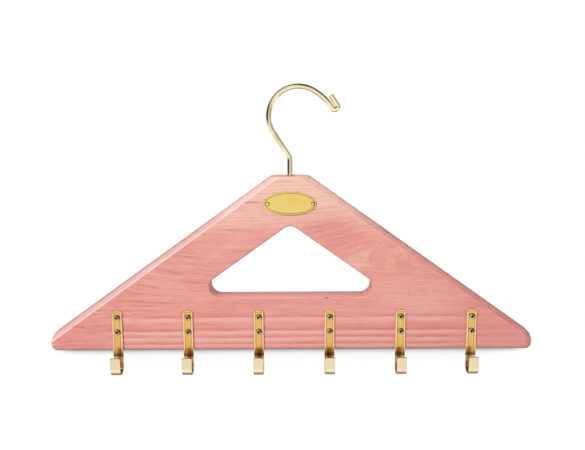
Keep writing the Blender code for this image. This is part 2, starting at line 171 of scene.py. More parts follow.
class Paint:
    """The nodes of a material or a world under construction, and its colour so far."""

    def __init__(self, owner: bpy.types.Material | bpy.types.World) -> None:
        """Start on the emptied node tree of a material or a world."""
        owner.use_nodes = True
        self.owner = owner
        self.tree = owner.node_tree
        self.tree.nodes.clear()
        self.colour: Any = WHITE

    def node(self, kind: str, settings: dict[str, Any] | None = None,
             sockets: dict[str | int, Any] | None = None) -> bpy.types.Node:
        """Add a node.

        Args:
            kind: The node's type, without ShaderNode before it.
            settings: Its settings, set before its sockets.
            sockets: The values or links of its inputs, by name or number.

        Returns:
            The node.
        """
        node = self.tree.nodes.new(f"ShaderNode{kind}")
        for key, value in (settings or {}).items():
            setattr(node, key, value)
        for key, value in (sockets or {}).items():
            link = value.socket if isinstance(value, Term) else value
            if isinstance(link, bpy.types.NodeSocket):
                self.tree.links.new(link, node.inputs[key])
            else:
                node.inputs[key].default_value = value
        return node

    def parts(self, vector: bpy.types.NodeSocket) -> Place:
        """Split a vector into its three numbers."""
        return tuple(Term(self, output) for output in self.node("SeparateXYZ", {}, {0: vector}).outputs)

    def vector(self, x: Term | float, y: Term | float, z: Term | float) -> bpy.types.NodeSocket:
        """Join three numbers into a vector."""
        return self.node("CombineXYZ", {}, {0: x, 1: y, 2: z}).outputs[0]

    def place(self, output: str = "Object") -> bpy.types.NodeSocket:
        """Return one kind of the point's coordinates."""
        return self.node("TexCoord").outputs[output]

    def place_mm(self) -> bpy.types.NodeSocket:
        """Return the point's place on its object, in millimetres."""
        values = {0: self.place(), "Scale": MILLIMETRES}
        return self.node("VectorMath", {"operation": "SCALE"}, values).outputs[0]

    def attribute(self, name: str, output: str = "Vector") -> bpy.types.NodeSocket:
        """Read an attribute of the mesh."""
        return self.node("Attribute", {"attribute_name": name}).outputs[output]

    def rays(self) -> tuple[Term, Term]:
        """Return what is 1 for the camera's own rays, and what is 1 for rays off gloss or through glass."""
        path = self.node("LightPath").outputs
        kinds = ("Camera", "Glossy", "Transmission")
        camera, gloss, glass = (Term(self, path[f"Is {kind} Ray"]) for kind in kinds)
        return camera, gloss.most(glass)

    def noise(self, vector: bpy.types.NodeSocket, scale: float = 1.0, detail: float = 2.0,
              roughness: float = 0.5) -> Term:
        """Add a noise texture.

        Args:
            vector: Where the noise is read.
            scale: Its cells for each unit of the vector.
            detail: How many finer layers it has.
            roughness: How strong the finer layers are.

        Returns:
            The noise, about 0.5.
        """
        values = {"Vector": vector, "Scale": scale, "Detail": detail, "Roughness": roughness}
        return Term(self, self.node("TexNoise", {}, values).outputs[0])

    def random(self, vector: bpy.types.NodeSocket) -> Term:
        """Return a random number from 0 to 1 for each value of a vector."""
        return Term(self, self.node("TexWhiteNoise", {}, {"Vector": vector}).outputs["Value"])

    def mix(self, share: Term | float, first: Any, second: Any) -> bpy.types.NodeSocket:
        """Mix two colours, of which the second has the share."""
        colours = [(*c, 1.0) if isinstance(c, tuple) else c for c in (first, second)]
        values = {0: share, 6: colours[0], 7: colours[1]}
        return self.node("Mix", {"data_type": "RGBA", "clamp_factor": True}, values).outputs[2]

    def cover(self, share: Term | float, colour: Colour) -> None:
        """Lay a colour over the colour so far."""
        self.colour = self.mix(share, self.colour, colour)

    def shader(self, kind: str, **sockets: Any) -> bpy.types.NodeSocket:
        """Add a shader, whose socket names have spaces for underscores, and return its output."""
        values = {name.replace("_", " "): value for name, value in sockets.items()}
        return self.node(kind, {}, values).outputs[0]

    def end_in(self, shader: bpy.types.NodeSocket) -> Any:
        """End the tree in a shader, and return its material or world."""
        kind = "World" if isinstance(self.owner, bpy.types.World) else "Material"
        self.node(f"Output{kind}", {}, {"Surface": shader})
        return self.owner

    def solid(self, roughness: Term, relief: Term, depth: float, strength: float,
              **sockets: Any) -> bpy.types.Material:
        """End a material in a Principled shader of the colour so far.

        Args:
            roughness: How dull it is.
            relief: The height of its surface, from 0 to 1.
            depth: How far 1 stands above 0, in metres.
            strength: The share of the relief's effect.
            sockets: The shader's other values.

        Returns:
            The material.
        """
        bump = self.node("Bump", {}, {"Height": relief, "Distance": depth, "Strength": strength})
        return self.end_in(self.shader("BsdfPrincipled", Base_Color=self.colour, Roughness=roughness,
                                       Normal=bump.outputs[0], **sockets))


@dataclass(frozen=True)
class Streak:
    """A soft mark in the wood, in millimetres on the board's face."""

    across: float
    up: float
    length: float
    height: float
    tilt_degrees: float
    strength: float


@dataclass(frozen=True)
class CedarFinish:
    """Sanded bare aromatic cedar, whose rings run along the board and round one knot, with painted light and
    shade at its chamfers, window, right end and bottom edge.
    """

    peach: Colour = srgb(245, 204, 184)
    # This colour is also painted shade in the window, at the right end and on the right chamfer.
    sawn_and_shade: Colour = srgb(176, 104, 96)
    # This colour is painted shade along the bottom edge.
    underside: Colour = srgb(150, 118, 114)
    salmon: Colour = srgb(233, 158, 147)
    rose: Colour = srgb(222, 138, 131)
    late_wood: Colour = srgb(196, 108, 102)
    # This colour is also painted light on the window's ledge and the right chamfer.
    pale_wood_and_light: Colour = srgb(250, 198, 184)
    # The next three colours are painted light on the left chamfer: sheen over a duller tone, sheen streaks
    # and a highlight line.
    end_wood_and_sheen: Colour = srgb(208, 164, 158)
    sheen_streak: Colour = srgb(238, 202, 198)
    chamfer_highlight: Colour = srgb(255, 226, 218)
    knot_wood: Colour = srgb(240, 180, 152)
    dark_heart: Colour = srgb(150, 62, 58)
    knot_at: tuple[float, float] = (85.0, 77.0)
    knot_size: tuple[float, float] = (9.5, 4.6)
    knot_tilt: float = 44.0
    pith_at: tuple[float, float] = (34.0, -48.0)
    ring_scale: float = 22.5
    eye: Streak = Streak(28.7, 42.9, 1.5, 0.8, 8.0, 1.0)
    rail_rings: tuple[float, ...] = (26.3, 15.1, 9.5, 3.8)
    streaks: tuple[Streak, ...] = (
        Streak(-167.5, 19.3, 13.0, 1.3, -7.0, 0.75),
        Streak(-178.0, 27.0, 9.0, 2.2, 35.0, 0.5),
        Streak(-125.2, 30.4, 9.0, 1.0, -4.0, 0.5),
        Streak(-30.0, 120.2, 11.0, 1.3, 2.0, 0.5),
        Streak(49.0, 106.0, 15.0, 1.4, -34.0, 0.22),
        Streak(76.0, 96.0, 12.0, 2.6, -40.0, 0.6),
        Streak(104.0, 71.0, 16.0, 0.7, -22.0, 0.35),
        Streak(118.0, 60.0, 17.0, 0.8, -17.0, 0.45),
        Streak(128.0, 52.0, 15.0, 0.7, -14.0, 0.35),
        Streak(150.0, 36.0, 15.0, 1.6, -26.0, 0.3),
        Streak(172.0, 25.0, 15.0, 2.2, -33.0, 0.5),
        Streak(94.5, 48.0, 8.0, 0.8, 84.0, 0.45),
        Streak(91.5, 38.5, 4.0, 0.8, 48.0, 0.35),
        Streak(66.5, 81.0, 12.0, 0.8, 58.0, 0.35),
        Streak(61.0, 84.0, 12.0, 0.7, 54.0, 0.25),
        Streak(28.7, 42.9, 6.5, 0.9, 3.0, 0.45),
    )
    warm_patches: tuple[Streak, ...] = (
        Streak(-82.0, 66.0, 60.0, 20.0, 24.0, 0.2),
        Streak(52.0, 73.0, 22.0, 11.0, 30.0, 0.45),
        Streak(98.0, 42.0, 50.0, 16.0, -14.0, 0.3),
        Streak(46.0, 128.0, 60.0, 12.0, 0.0, 0.3),
        Streak(-35.0, 112.0, 26.0, 14.0, 0.0, 0.45),
    )
    rose_patches: tuple[Streak, ...] = (
        Streak(-160.0, 16.0, 36.0, 16.0, 8.0, 0.45),
        Streak(36.0, 96.0, 34.0, 15.0, -20.0, 0.6),
        Streak(-108.0, 46.0, 50.0, 14.0, 12.0, 0.15),
        Streak(126.0, 16.0, 56.0, 18.0, 0.0, 0.75),
        Streak(40.0, 12.0, 50.0, 12.0, 0.0, 0.3),
    )
    pale_streaks: tuple[Streak, ...] = (
        Streak(71.5, 78.0, 14.0, 0.9, 60.0, 0.3),
        Streak(59.0, 75.0, 15.0, 1.0, 50.0, 0.25),
        Streak(60.5, 62.0, 10.0, 0.9, 30.0, 0.3),
        Streak(108.0, 65.0, 14.0, 1.0, -21.0, 0.25),
        Streak(112.0, 52.0, 15.0, 0.9, -12.0, 0.25),
        Streak(92.0, 51.0, 9.0, 0.8, 86.0, 0.25),
    )

    def material(self, board: "CedarBoard") -> bpy.types.Material:
        """Make the wood's material.

        Args:
            board: The board that it is made for, which gives the places on it.

        Returns:
            The material.
        """
        paint = Paint(bpy.data.materials.new("cedar"))
        x, y, z = paint.parts(paint.place_mm())
        across = x - board.middle_x * MILLIMETRES
        up = z - board.low.z * MILLIMETRES
        place = (across, y, up)
        grain = self._grain(paint, place)
        knot_side = across.ease(44.0, 76.0) * up.ease(96.0, 84.0) * up.ease(26.0, 42.0)
        belt = up.ease(27.0, 33.0) * up.ease(52.0, 44.0) * across.ease(-110.0, -70.0)
        calm = knot_side.most(across.ease(96.0, 136.0)).most(belt)
        rail = up.ease(31.0, 27.0) * across.ease(-158.0, -132.0) * (1.0 - across.ease(112.0, 150.0) * 0.7)
        height = self._rings(paint, place, grain, calm, rail)
        self._rail_rings(paint, place, rail)
        self._knot(paint, across, up)
        half = board.thickness / 2 * MILLIMETRES
        front = y.ease(2.8 - half, 1.0 - half)
        self._chamfer(paint, board, place)
        ragged = paint.noise(paint.vector(across * 0.12, y * 0.3, grain * 0.9), detail=3).ease(0.32, 0.6)
        for streaks, wood in ((self.streaks, self.late_wood), (self.pale_streaks, self.pale_wood_and_light)):
            for streak in streaks:
                mark = self._ellipse(across, up, streak).ease(1.0, 0.15) * streak.strength
                paint.cover(mark * ragged, wood)
        eye = self._ellipse(across, up, self.eye)
        paint.cover(eye.ease(1.0, 0.5) * front * 0.75, self.dark_heart)
        wall = abs(y).ease(half - 0.25, half - 0.9)
        ledge = wall * up.ease(50.0, 46.0) * abs(across).ease(84.0, 78.0)
        # Painted light and shade in the window: the ledge paler towards the front and darker towards the
        # back, the walls a little darker and more so towards the window's ends.
        paint.cover(ledge * y.ease(4.0, -7.0) * 0.4, self.pale_wood_and_light)
        paint.cover(wall * (0.08 + abs(across).ease(46.0, 60.0) * 0.2), self.sawn_and_shade)
        paint.cover(ledge * y.ease(-2.0, 8.0) * 0.22, self.sawn_and_shade)
        # Painted shade on the right end, away from the key lamp, and along the bottom edge.
        length = board.half_length * MILLIMETRES
        paint.cover(across.ease(length - 7.0, length - 1.0) * 0.6, self.sawn_and_shade)
        paint.cover((up.ease(3.0, 0.6) * 0.62).most(up.ease(4.2, 2.6) * 0.17), self.underside)
        fibre = paint.noise(paint.vector(across * 0.12, y * 1.4, grain * 1.1), detail=3, roughness=0.6)
        paint.cover(fibre.ease(0.5, 0.78) * (0.36 - rail * 0.16), self.late_wood)
        paint.cover(fibre.ease(0.5, 0.24) * (0.3 - rail * 0.12), self.pale_wood_and_light)
        roughness = 0.5 + height * 0.12 + (fibre - 0.5) * 0.2
        relief = fibre * 0.7 + height * 0.3
        return paint.solid(roughness, relief, depth=0.00012, strength=0.5, Specular_IOR_Level=0.32)

    def _grain(self, paint: Paint, place: Place) -> Term:
        """Return the height at which a fibre would lie if nothing had turned it aside."""
        across, y, up = place
        knot_x, knot_z = self.knot_at
        beside = (across - knot_x) / 36.0
        swell = 1.0 / (1.0 + (beside * beside) ** 1.3)
        above = (up - knot_z) / 14.0
        aside = above / (1.0 + above * above) * 13.0
        left = across.ease(-40.0, -160.0) * up.ease(30.0, 58.0) * up.ease(100.0, 76.0)
        right = across.ease(5.0, 80.0) * up.ease(62.0, 90.0)
        past = (across - 92.0).most(0.0) * up.ease(14.0, 52.0)
        wander = paint.noise(paint.vector(across * 0.010, y * 0.02, up * 0.025), detail=1) - 0.5
        ripple = paint.noise(paint.vector(across * 0.045, y * 0.05, up * 0.06), detail=2) - 0.5
        return up - swell * aside - left * 8.0 - right * 7.0 + past * 0.17 + wander * 6.0 + ripple * 3.2

    def _rings(self, paint: Paint, place: Place, grain: Term, calm: Term, rail: Term) -> Term:
        """Colour the growth rings.

        Args:
            paint: The wood's paint.
            place: The point's places across, through and up the board, in millimetres.
            grain: The undisturbed height of the fibre there.
            calm: 1 where the grain hardly shows, round and past the knot.
            rail: 1 in the boldly striped rail below the window.

        Returns:
            The height of the late wood.
        """
        across, y, up = place
        depth = y - self.pith_at[0]
        rise = grain - self.pith_at[1]
        phase = (depth.reach(rise) / self.ring_scale) ** 2.0
        share = phase.fraction()
        level = paint.random(paint.vector(phase.floor(), 3.0, 1.0))
        late = share.ease(0.3, 0.95) * share.ease(1.0, 0.97)
        patch = paint.noise(paint.vector(across * 0.014, y * 0.03, grain * 0.05), detail=3)
        band = paint.noise(paint.vector(across * 0.006, y * 0.05, grain * 0.34), detail=2, roughness=0.5)
        fine = paint.noise(paint.vector(across * 0.019, y * 0.6, grain * 0.72), detail=4, roughness=0.62)
        paint.colour = self.salmon
        paint.cover(up.ease(78.0, 126.0) * 0.97, self.peach)
        for patches, wood in ((self.warm_patches, self.peach), (self.rose_patches, self.rose)):
            for spot in patches:
                paint.cover(self._ellipse(across, up, spot).ease(1.2, 0.3) * spot.strength, wood)
        paint.cover(patch.ease(0.44, 0.66) * 0.33 + across.ease(110.0, 190.0) * 0.4, self.rose)
        paint.cover(band.ease(0.5, 0.6) * 0.08, self.pale_wood_and_light)
        paint.cover(band.ease(0.5, 0.4) * 0.06, self.rose)
        bold = late * level.ease(0.1, 1.0) * (0.26 - calm * 0.18 - rail * 0.22)
        paint.cover(bold, self.late_wood)
        paint.cover(fine.ease(0.53, 0.66) * (0.33 - calm * 0.15 - rail * 0.1), self.late_wood)
        paint.cover(fine.ease(0.48, 0.34) * (0.25 - calm * 0.08 - rail * 0.05), self.pale_wood_and_light)
        return late * level

    def _rail_rings(self, paint: Paint, place: Place, rail: Term) -> None:
        """Draw the bold rings of the rail below the window, each dark above its line and pale below it."""
        across, y, up = place
        ragged = paint.noise(paint.vector(across * 0.11, y * 0.3, up * 0.8), detail=3, roughness=0.6) - 0.5
        for number, ring in enumerate(self.rail_rings):
            wander = paint.noise(paint.vector(across * 0.017, y * 0.06, 9.0 + number * 0.35), detail=3) - 0.5
            power = paint.noise(paint.vector(across * 0.03, y * 0.1, 4.0 + number * 2.7), detail=2)
            power = power.ease(0.25, 0.6)
            over = up + (y - across * 0.01) * 0.12 + wander * 2.6 + ragged * 1.5 - ring
            dark = over.ease(3.6, 0.2) * over.ease(-0.8, 0.2) * (0.12 + power * 0.36)
            pale = over.ease(-0.2, -1.3) * over.ease(-6.5, -1.6) * (0.22 + power * 0.3) * up.ease(-0.5, 5.5)
            paint.cover(pale * rail, self.pale_wood_and_light)
            paint.cover(dark * rail, self.late_wood)

    @staticmethod
    def _ellipse(across: Term, up: Term, shape: Streak) -> Term:
        """Return the distance from a tilted ellipse's middle, 1 on its edge."""
        turn = math.radians(shape.tilt_degrees)
        right = across - shape.across
        rise = up - shape.up
        along = (right * math.cos(turn) + rise * math.sin(turn)) / shape.length
        over = (rise * math.cos(turn) - right * math.sin(turn)) / shape.height
        return along.reach(over)

    def _knot(self, paint: Paint, across: Term, up: Term) -> None:
        """Lay the knot's pale, faintly ringed oval on the wood."""
        oval = Streak(*self.knot_at, *self.knot_size, self.knot_tilt, 1.0)
        wobble = paint.noise(paint.vector(across * 0.12, 5.0, up * 0.12), detail=3) - 0.5
        distance = self._ellipse(across, up, oval) + wobble * 0.7
        paint.cover(distance.ease(1.7, 0.5) * 0.35, self.knot_wood)
        lines = (distance * 11.0 + 1.2).sine().ease(0.2, 1.0) * distance.ease(2.1, 0.6)
        paint.cover(lines * 0.32, self.pale_wood_and_light)

    def _chamfer(self, paint: Paint, board: "CedarBoard", place: Place) -> None:
        """Paint light and shade on the chamfers: painted sheen and a highlight line on the left, painted
        shade on the right.
        """
        across, y, up = place
        angle = board.slope_angle
        corner = board.top_edge / 2 * math.sin(angle) + board.height * math.cos(angle)
        inside = abs(across) * math.sin(angle) + up * math.cos(angle) - corner * MILLIMETRES
        beside = abs(y) - board.thickness / 2 * MILLIMETRES
        leg = board.chamfer * MILLIMETRES
        cut = (inside + beside).ease(-leg - 0.35, -leg - 0.1)
        left = cut * across.ease(14.0, -4.0)
        right = cut * across.ease(-4.0, 14.0)
        along = abs(across) * math.cos(angle) - up * math.sin(angle)
        slant = beside + along * 0.12
        streak = paint.noise(paint.vector(along * 0.03, slant * 0.75, across * 0.004), detail=3,
                             roughness=0.6)
        # Left chamfer, facing the key lamp: a duller tone with painted sheen streaks and a painted highlight
        # line near the face.
        paint.cover(left * 0.7, self.end_wood_and_sheen)
        bright = streak.ease(0.42, 0.66) * 0.45 + beside.ease(-3.9, -2.6) * beside.ease(0.1, -0.9) * 0.75
        paint.cover(left * bright, self.sheen_streak)
        line = left * beside.ease(-1.5, -0.9) * beside.ease(0.1, -0.3)
        paint.cover(line * 0.55, self.chamfer_highlight)
        # Right chamfer: painted shade, paler near the face and darker towards the outer edge.
        low = across.ease(90.0, 150.0)
        paint.cover(right * beside.ease(-leg + 0.4, -leg + 1.6) * (0.3 - low * 0.2), self.pale_wood_and_light)
        paint.cover(right * beside.ease(-leg + 1.4, -leg) * (0.2 + low * 0.25), self.sawn_and_shade)


@dataclass(frozen=True)
class PlatedWireFinish:
    """Polished pale brass plate on drawn wire, with a breath of tarnish."""

    bright: Colour = srgb(246, 232, 194)
    deep: Colour = srgb(226, 206, 156)

    def material(self) -> bpy.types.Material:
        """Make the wire's material."""
        paint = Paint(bpy.data.materials.new("plated_wire"))
        place = paint.place_mm()
        cloud = paint.noise(place, 0.09, 3)
        speck = paint.noise(place, 1.1, 3, 0.6)
        paint.colour = self.bright
        paint.cover(cloud.ease(0.35, 0.7), self.deep)
        paint.cover(speck.ease(0.6, 0.8) * 0.2, self.deep)
        roughness = 0.07 + cloud.ease(0.4, 0.7) * 0.03 + speck * 0.03
        return paint.solid(roughness, cloud, depth=0.00002, strength=0.3, Metallic=1.0)


@dataclass(frozen=True)
class StripBrassFinish:
    """Brushed brass plate on strip: golden, with painted reflections and shade near the bend, painted rim
    sheen and screw shadows.
    """

    gold: Colour = srgb(236, 195, 116)
    orange: Colour = srgb(223, 168, 98)
    shade_brown: Colour = srgb(150, 104, 60)
    line: Colour = srgb(168, 106, 52)
    hollow_shade: Colour = srgb(66, 44, 24)
    pale: Colour = srgb(236, 220, 184)
    rim_sheen: Colour = srgb(250, 224, 182)
    screw_shade_at: tuple[float, float] = (0.75, -0.05)

    def material(self, hook: "BeltHooks") -> bpy.types.Material:
        """Make the strip's material, which reads the attribute that holds the flat blank's places.

        Args:
            hook: The hooks that it is made for, which give the places on the blank.

        Returns:
            The material.
        """
        paint = Paint(bpy.data.materials.new("strip_brass"))
        across, depth, down = paint.parts(paint.attribute(hook.BLANK_PLACES))
        brush = paint.noise(paint.vector(across * 3.2, depth * 3.0, down * 0.35), detail=4, roughness=0.7)
        cloud = paint.noise(paint.place_mm(), 0.25, 3)
        edge = -hook.plate_rise * MILLIMETRES
        straight = -hook.straight * MILLIMETRES
        tip = straight - (hook.bend_length + hook.tongue) * MILLIMETRES
        paint.colour = self.gold
        paint.cover(down.ease(-16.0, -34.0) * 0.7 + cloud.ease(0.4, 0.75) * 0.25, self.orange)
        paint.cover(brush.ease(0.42, 0.7) * 0.6, self.orange)
        front = depth.ease(-0.7, -1.1)
        back = depth.ease(-0.6, -0.15)
        # Painted reflections below the board's edge: darker just under it, then a dark band, the reflected
        # shade of the bend's inside; further down paler, partly as paler plating and partly as painted
        # reflected light.
        paint.cover(front * down.ease(edge - 0.2, edge - 1.4) * 0.4, self.shade_brown)
        paint.cover(front * down.ease(edge - 4.0, edge - 6.0) * 0.75, self.pale)
        band = down.ease(edge - 1.6, edge - 2.6) * down.ease(edge - 5.2, edge - 4.4)
        paint.cover(depth.ease(-0.15, -0.4) * band * 0.6, self.hollow_shade)
        # A painted dark line of shade at the tongue's tip.
        paint.cover(down.ease(tip + 1.0, tip + 0.5) * 0.45, self.line)
        # The outside of the bend and the tongue is paler, partly as paler plating and partly as a painted
        # reflection of the bright surroundings.
        paint.cover(back * down.ease(straight, straight - 6.0) * 0.94, self.pale)
        # Painted sheen: the rims outside the pressed line, over the board, are lighter.
        middle = hook.line_across * MILLIMETRES
        rim = abs(across).ease(middle + 0.3, middle + 0.9).most(down.ease(-1.2, -0.6))
        rim = rim * depth.ease(-0.3, -0.9)
        paint.cover(rim * down.ease(edge - 1.0, edge + 1.0) * 0.7, self.rim_sheen)
        groove = abs(abs(across) - middle).ease(0.36, 0.1) * down.ease(-0.9, -1.3)
        top_line = abs(down + hook.width / 2 * MILLIMETRES - middle).ease(0.36, 0.1)
        groove = groove.most(top_line * abs(across).ease(3.0, 2.4))
        paint.cover(groove * front * down.ease(edge - 3.0, edge - 1.0) * 0.7, self.line)
        # Painted shadow of each screw's head on the face, set off to its right.
        aside, above = self.screw_shade_at
        for screw in hook.screws_down:
            ring = (across - aside).reach(down + screw * MILLIMETRES - above)
            paint.cover(ring.ease(2.7, 2.2) * front * 0.7, self.shade_brown)
        roughness = 0.2 + (brush - 0.5) * 0.16
        return paint.solid(roughness, brush, depth=0.00002, strength=0.4, Metallic=1.0)


@dataclass(frozen=True)
class PlateBrassFinish:
    """Bright yellow satin brass of the oval plate, with a dark line in its engraved border and painted
    shadows beside its pins.
    """

    yellow: Colour = srgb(246, 216, 128)
    warm: Colour = srgb(228, 184, 92)
    line_and_pin_shade: Colour = srgb(92, 66, 24)
    pin_shade_at: tuple[float, float] = (0.35, -0.3)

    def material(self, plate: "OvalPlate") -> bpy.types.Material:
        """Make the plate's material.

        Args:
            plate: The plate that it is made for, which gives the places on it.

        Returns:
            The material.
        """
        paint = Paint(bpy.data.materials.new("plate_brass"))
        place = paint.place_mm()
        x, y, z = paint.parts(place)
        brush = paint.noise(paint.vector(x * 0.35, y, z * 6.0), detail=4, roughness=0.7)
        cloud = paint.noise(place, 0.1, 1)
        paint.colour = self.yellow
        paint.cover(cloud.ease(0.35, 0.8) * 0.3 + (brush - 0.5) * 0.3, self.warm)
        face = plate.front * MILLIMETRES
        across = (x - plate.middle.x * MILLIMETRES) / (plate.length / 2 * MILLIMETRES)
        up = (z - plate.middle.z * MILLIMETRES) / (plate.height / 2 * MILLIMETRES)
        inner = (across * across + up * up).ease(0.985, 0.96)
        sunk = y.ease(face + 0.02, face + 0.08) * y.ease(face + 0.4, face + 0.3)
        paint.cover(inner * sunk * 0.85, self.line_and_pin_shade)
        # Painted shadow of each pin's head on the plate, set off to its lower right.
        aside, above = self.pin_shade_at
        for seat in plate.pins.values():
            ring = (x - seat.x * MILLIMETRES - aside).reach(z - seat.z * MILLIMETRES - above)
            paint.cover(ring.ease(1.75, 1.3) * y.ease(face + 0.4, face + 0.3) * 0.8, self.line_and_pin_shade)
        roughness = 0.28 + (brush - 0.5) * 0.14
        return paint.solid(roughness, brush, depth=0.00001, strength=0.3, Metallic=1.0)


@dataclass(frozen=True)
class ScrewBrassFinish:
    """Bright brass plate of the small turned pieces, with painted shade on the upper right of the heads and
    in the cross recesses.
    """

    HOLLOWS = "hollow_shade"
    SEATS = "seat_places"

    bright: Colour = srgb(255, 232, 172)
    dull: Colour = srgb(196, 146, 84)
    shade_brown: Colour = srgb(96, 54, 18)
    dark: Colour = srgb(34, 20, 8)

    def material(self) -> bpy.types.Material:
        """Make the material, which reads the attributes that hold the hollows and the places on the seats."""
        paint = Paint(bpy.data.materials.new("screw_brass"))
        place = paint.place_mm()
        cloud = paint.noise(place, 0.9, 3)
        speck = paint.noise(place, 4.0, 3, 0.7)
        hollow_shade = Term(paint, paint.attribute(self.HOLLOWS, "Fac"))
        paint.colour = self.bright
        paint.cover(cloud.ease(0.35, 0.7) * 0.5 + speck.ease(0.5, 0.8) * 0.4, self.dull)
        # Painted shade: the upper right side of each head is darker.
        side, _, rise = paint.parts(paint.attribute(self.SEATS))
        shaded_side = (side * 0.86 + rise * 0.5).ease(0.7, 1.5)
        paint.cover(shaded_side * 0.75, self.shade_brown)
        # Painted shade in the cross recess.
        paint.cover(hollow_shade, self.dark)
        rim = (side * side + rise * rise).ease(2.4, 4.8)
        roughness = 0.3 + speck * 0.1 + (hollow_shade * 0.3).most(rim * 0.4)
        return paint.solid(roughness, speck, depth=0.000005, strength=0.3, Metallic=1.0)


@dataclass(frozen=True)
class Corner:
    """A rounded corner in the XZ plane between two sides, each given by the direction that it faces."""

    x: float
    z: float
    first: Vector
    second: Vector
    radius: float

    @property
    def centre(self) -> Vector:
        """Return the centre of the corner's arc."""
        inwards = (self.first + self.second) / (1 + self.first.dot(self.second))
        return Vector((self.x, 0.0, self.z)) - inwards * self.radius


def only(items: Iterable[Any], kind: type) -> list[Any]:
    """Return the items of one kind."""
    return [item for item in items if isinstance(item, kind)]


def node_box(node: str) -> tuple[Vector, Vector]:
    """Return the lowest and the highest corner of a node, from the frame."""
    low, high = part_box(node)
    return Vector(low), Vector(high)


def put(name: str, data: Any) -> bpy.types.Object:
    """Put a new object in the scene."""
    item = bpy.data.objects.new(name, data)
    bpy.context.scene.collection.objects.link(item)
    return item


class Form:
    """A bmesh that is shaped into one piece."""

    def __init__(self) -> None:
        """Start with nothing."""
        self.work = bmesh.new()

    @property
    def everything(self) -> list[Any]:
        """All points, edges and faces."""
        return [*self.work.verts, *self.work.edges, *self.work.faces]

    def block(self, low: Sequence[float], high: Sequence[float]) -> "Form":
        """Add a box between two corners.

        Args:
            low: The lowest corner.
            high: The highest corner.

        Returns:
            The form itself.
        """
        points = bmesh.ops.create_cube(self.work, size=1.0)["verts"]
        bmesh.ops.scale(self.work, vec=Vector(high) - Vector(low), verts=points)
        bmesh.ops.translate(self.work, vec=(Vector(low) + Vector(high)) / 2, verts=points)
        return self

    def rod(self, start: Sequence[float], end: Sequence[float], radius: float) -> None:
        """Add a round rod between two points.

        Args:
            start: The middle of one end.
            end: The middle of the other end.
            radius: The rod's radius.
        """
        way = Vector(end) - Vector(start)
        middle = Matrix.Translation((Vector(start) + Vector(end)) / 2)
        turn = way.to_track_quat("Z", "Y").to_matrix().to_4x4()
        bmesh.ops.create_cone(self.work, cap_ends=True, segments=ROD_SIDES, radius1=radius, radius2=radius,
                              depth=way.length, matrix=middle @ turn)

    def rounded(self, corners: Sequence["Corner"], low_y: float, high_y: float) -> "Form":
        """Add a slab whose outline runs round its corners.

        Args:
            corners: The corners of the convex outline.
            low_y: Where the slab starts.
            high_y: Where the slab ends.

        Returns:
            The form itself.
        """
        for corner in corners:
            for y in (low_y, high_y):
                place = Matrix.Translation((corner.centre.x, y, corner.centre.z)) @ LYING
                bmesh.ops.create_circle(self.work, cap_ends=False, radius=corner.radius,
                                        segments=CORNER_SIDES, matrix=place)
        made = bmesh.ops.convex_hull(self.work, input=self.work.verts, use_existing_faces=False)
        bmesh.ops.delete(self.work, geom=only(made["geom_interior"], bmesh.types.BMVert), context="VERTS")
        bmesh.ops.dissolve_limit(self.work, angle_limit=math.radians(FLAT_DEGREES), verts=self.work.verts,
                                 edges=self.work.edges)
        return self

    def slice_off(self, point: Vector, normal: Vector) -> None:
        """Cut away what lies past a point on the side that a normal faces, and close the cut."""
        made = bmesh.ops.bisect_plane(self.work, geom=self.everything, dist=MERGE_DISTANCE, plane_co=point,
                                      plane_no=normal, clear_outer=True)
        bmesh.ops.edgeloop_fill(self.work, edges=only(made["geom_cut"], bmesh.types.BMEdge))

    def mark(self, height: float) -> None:
        """Score the surface all round at a height, which adds the points that a bend needs."""
        bmesh.ops.bisect_plane(self.work, geom=self.everything, dist=MERGE_DISTANCE,
                               plane_co=(0, 0, height), plane_no=UP)

    def open_ends(self) -> "Form":
        """Take the front and the back face off."""
        caps = [face for face in self.work.faces if abs(face.normal.y) > FACING]
        bmesh.ops.delete(self.work, geom=caps, context="FACES_ONLY")
        return self

    def largest_face(self, way: Vector, likeness: float = FACING) -> Any:
        """Return the largest of the faces that face a way."""
        facing = (face for face in self.work.faces if face.normal.dot(way) > likeness)
        return max(facing, key=lambda face: face.calc_area())

    def engrave(self, face: Any, margin: float, width: float, depth: float) -> None:
        """Sink a line of some width and depth all round a face, a margin away from its edge."""
        for thickness, step in ((margin, 0.0), (width / 2, -depth), (width / 2, depth)):
            bmesh.ops.inset_region(self.work, faces=[face], thickness=thickness, depth=step)

    def round_off(self, edges: Iterable[Any], width: float, segments: int) -> None:
        """Round some edges, from a width off them and with so many flats."""
        bmesh.ops.bevel(self.work, geom=list(edges), offset=width, offset_type="OFFSET", segments=segments,
                        profile=0.5, affect="EDGES", material=-1, loop_slide=False, clamp_overlap=False)

    def sharp_edges(self) -> list[Any]:
        """Return the edges at which the surface turns sharply."""
        limit = math.radians(CORNER_DEGREES)
        return [edge for edge in self.work.edges if edge.is_manifold and edge.calc_face_angle(0.0) > limit]

    def edges_at(self, x: float, z: float) -> list[Any]:
        """Return the edges that run along Y through a place."""
        def near(vert: Any) -> bool:
            """Say whether a point is at the place."""
            return math.hypot(vert.co.x - x, vert.co.z - z) < MERGE_DISTANCE * 10

        return [edge for edge in self.work.edges if near(edge.verts[0]) and near(edge.verts[1])]

    def turn(self, profile: Sequence[tuple[float, float]], steps: int) -> "Form":
        """Turn a profile about Z into a closed solid.

        Args:
            profile: Points of radius and height.
            steps: How many flats go round.

        Returns:
            The form itself.
        """
        verts = [self.work.verts.new((radius, 0.0, height)) for radius, height in profile]
        edges = [self.work.edges.new(pair) for pair in zip(verts, verts[1:])]
        bmesh.ops.spin(self.work, geom=[*verts, *edges], cent=(0, 0, 0), axis=(0, 0, 1), angle=math.tau,
                       steps=steps, use_merge=True)
        return self.tidy()

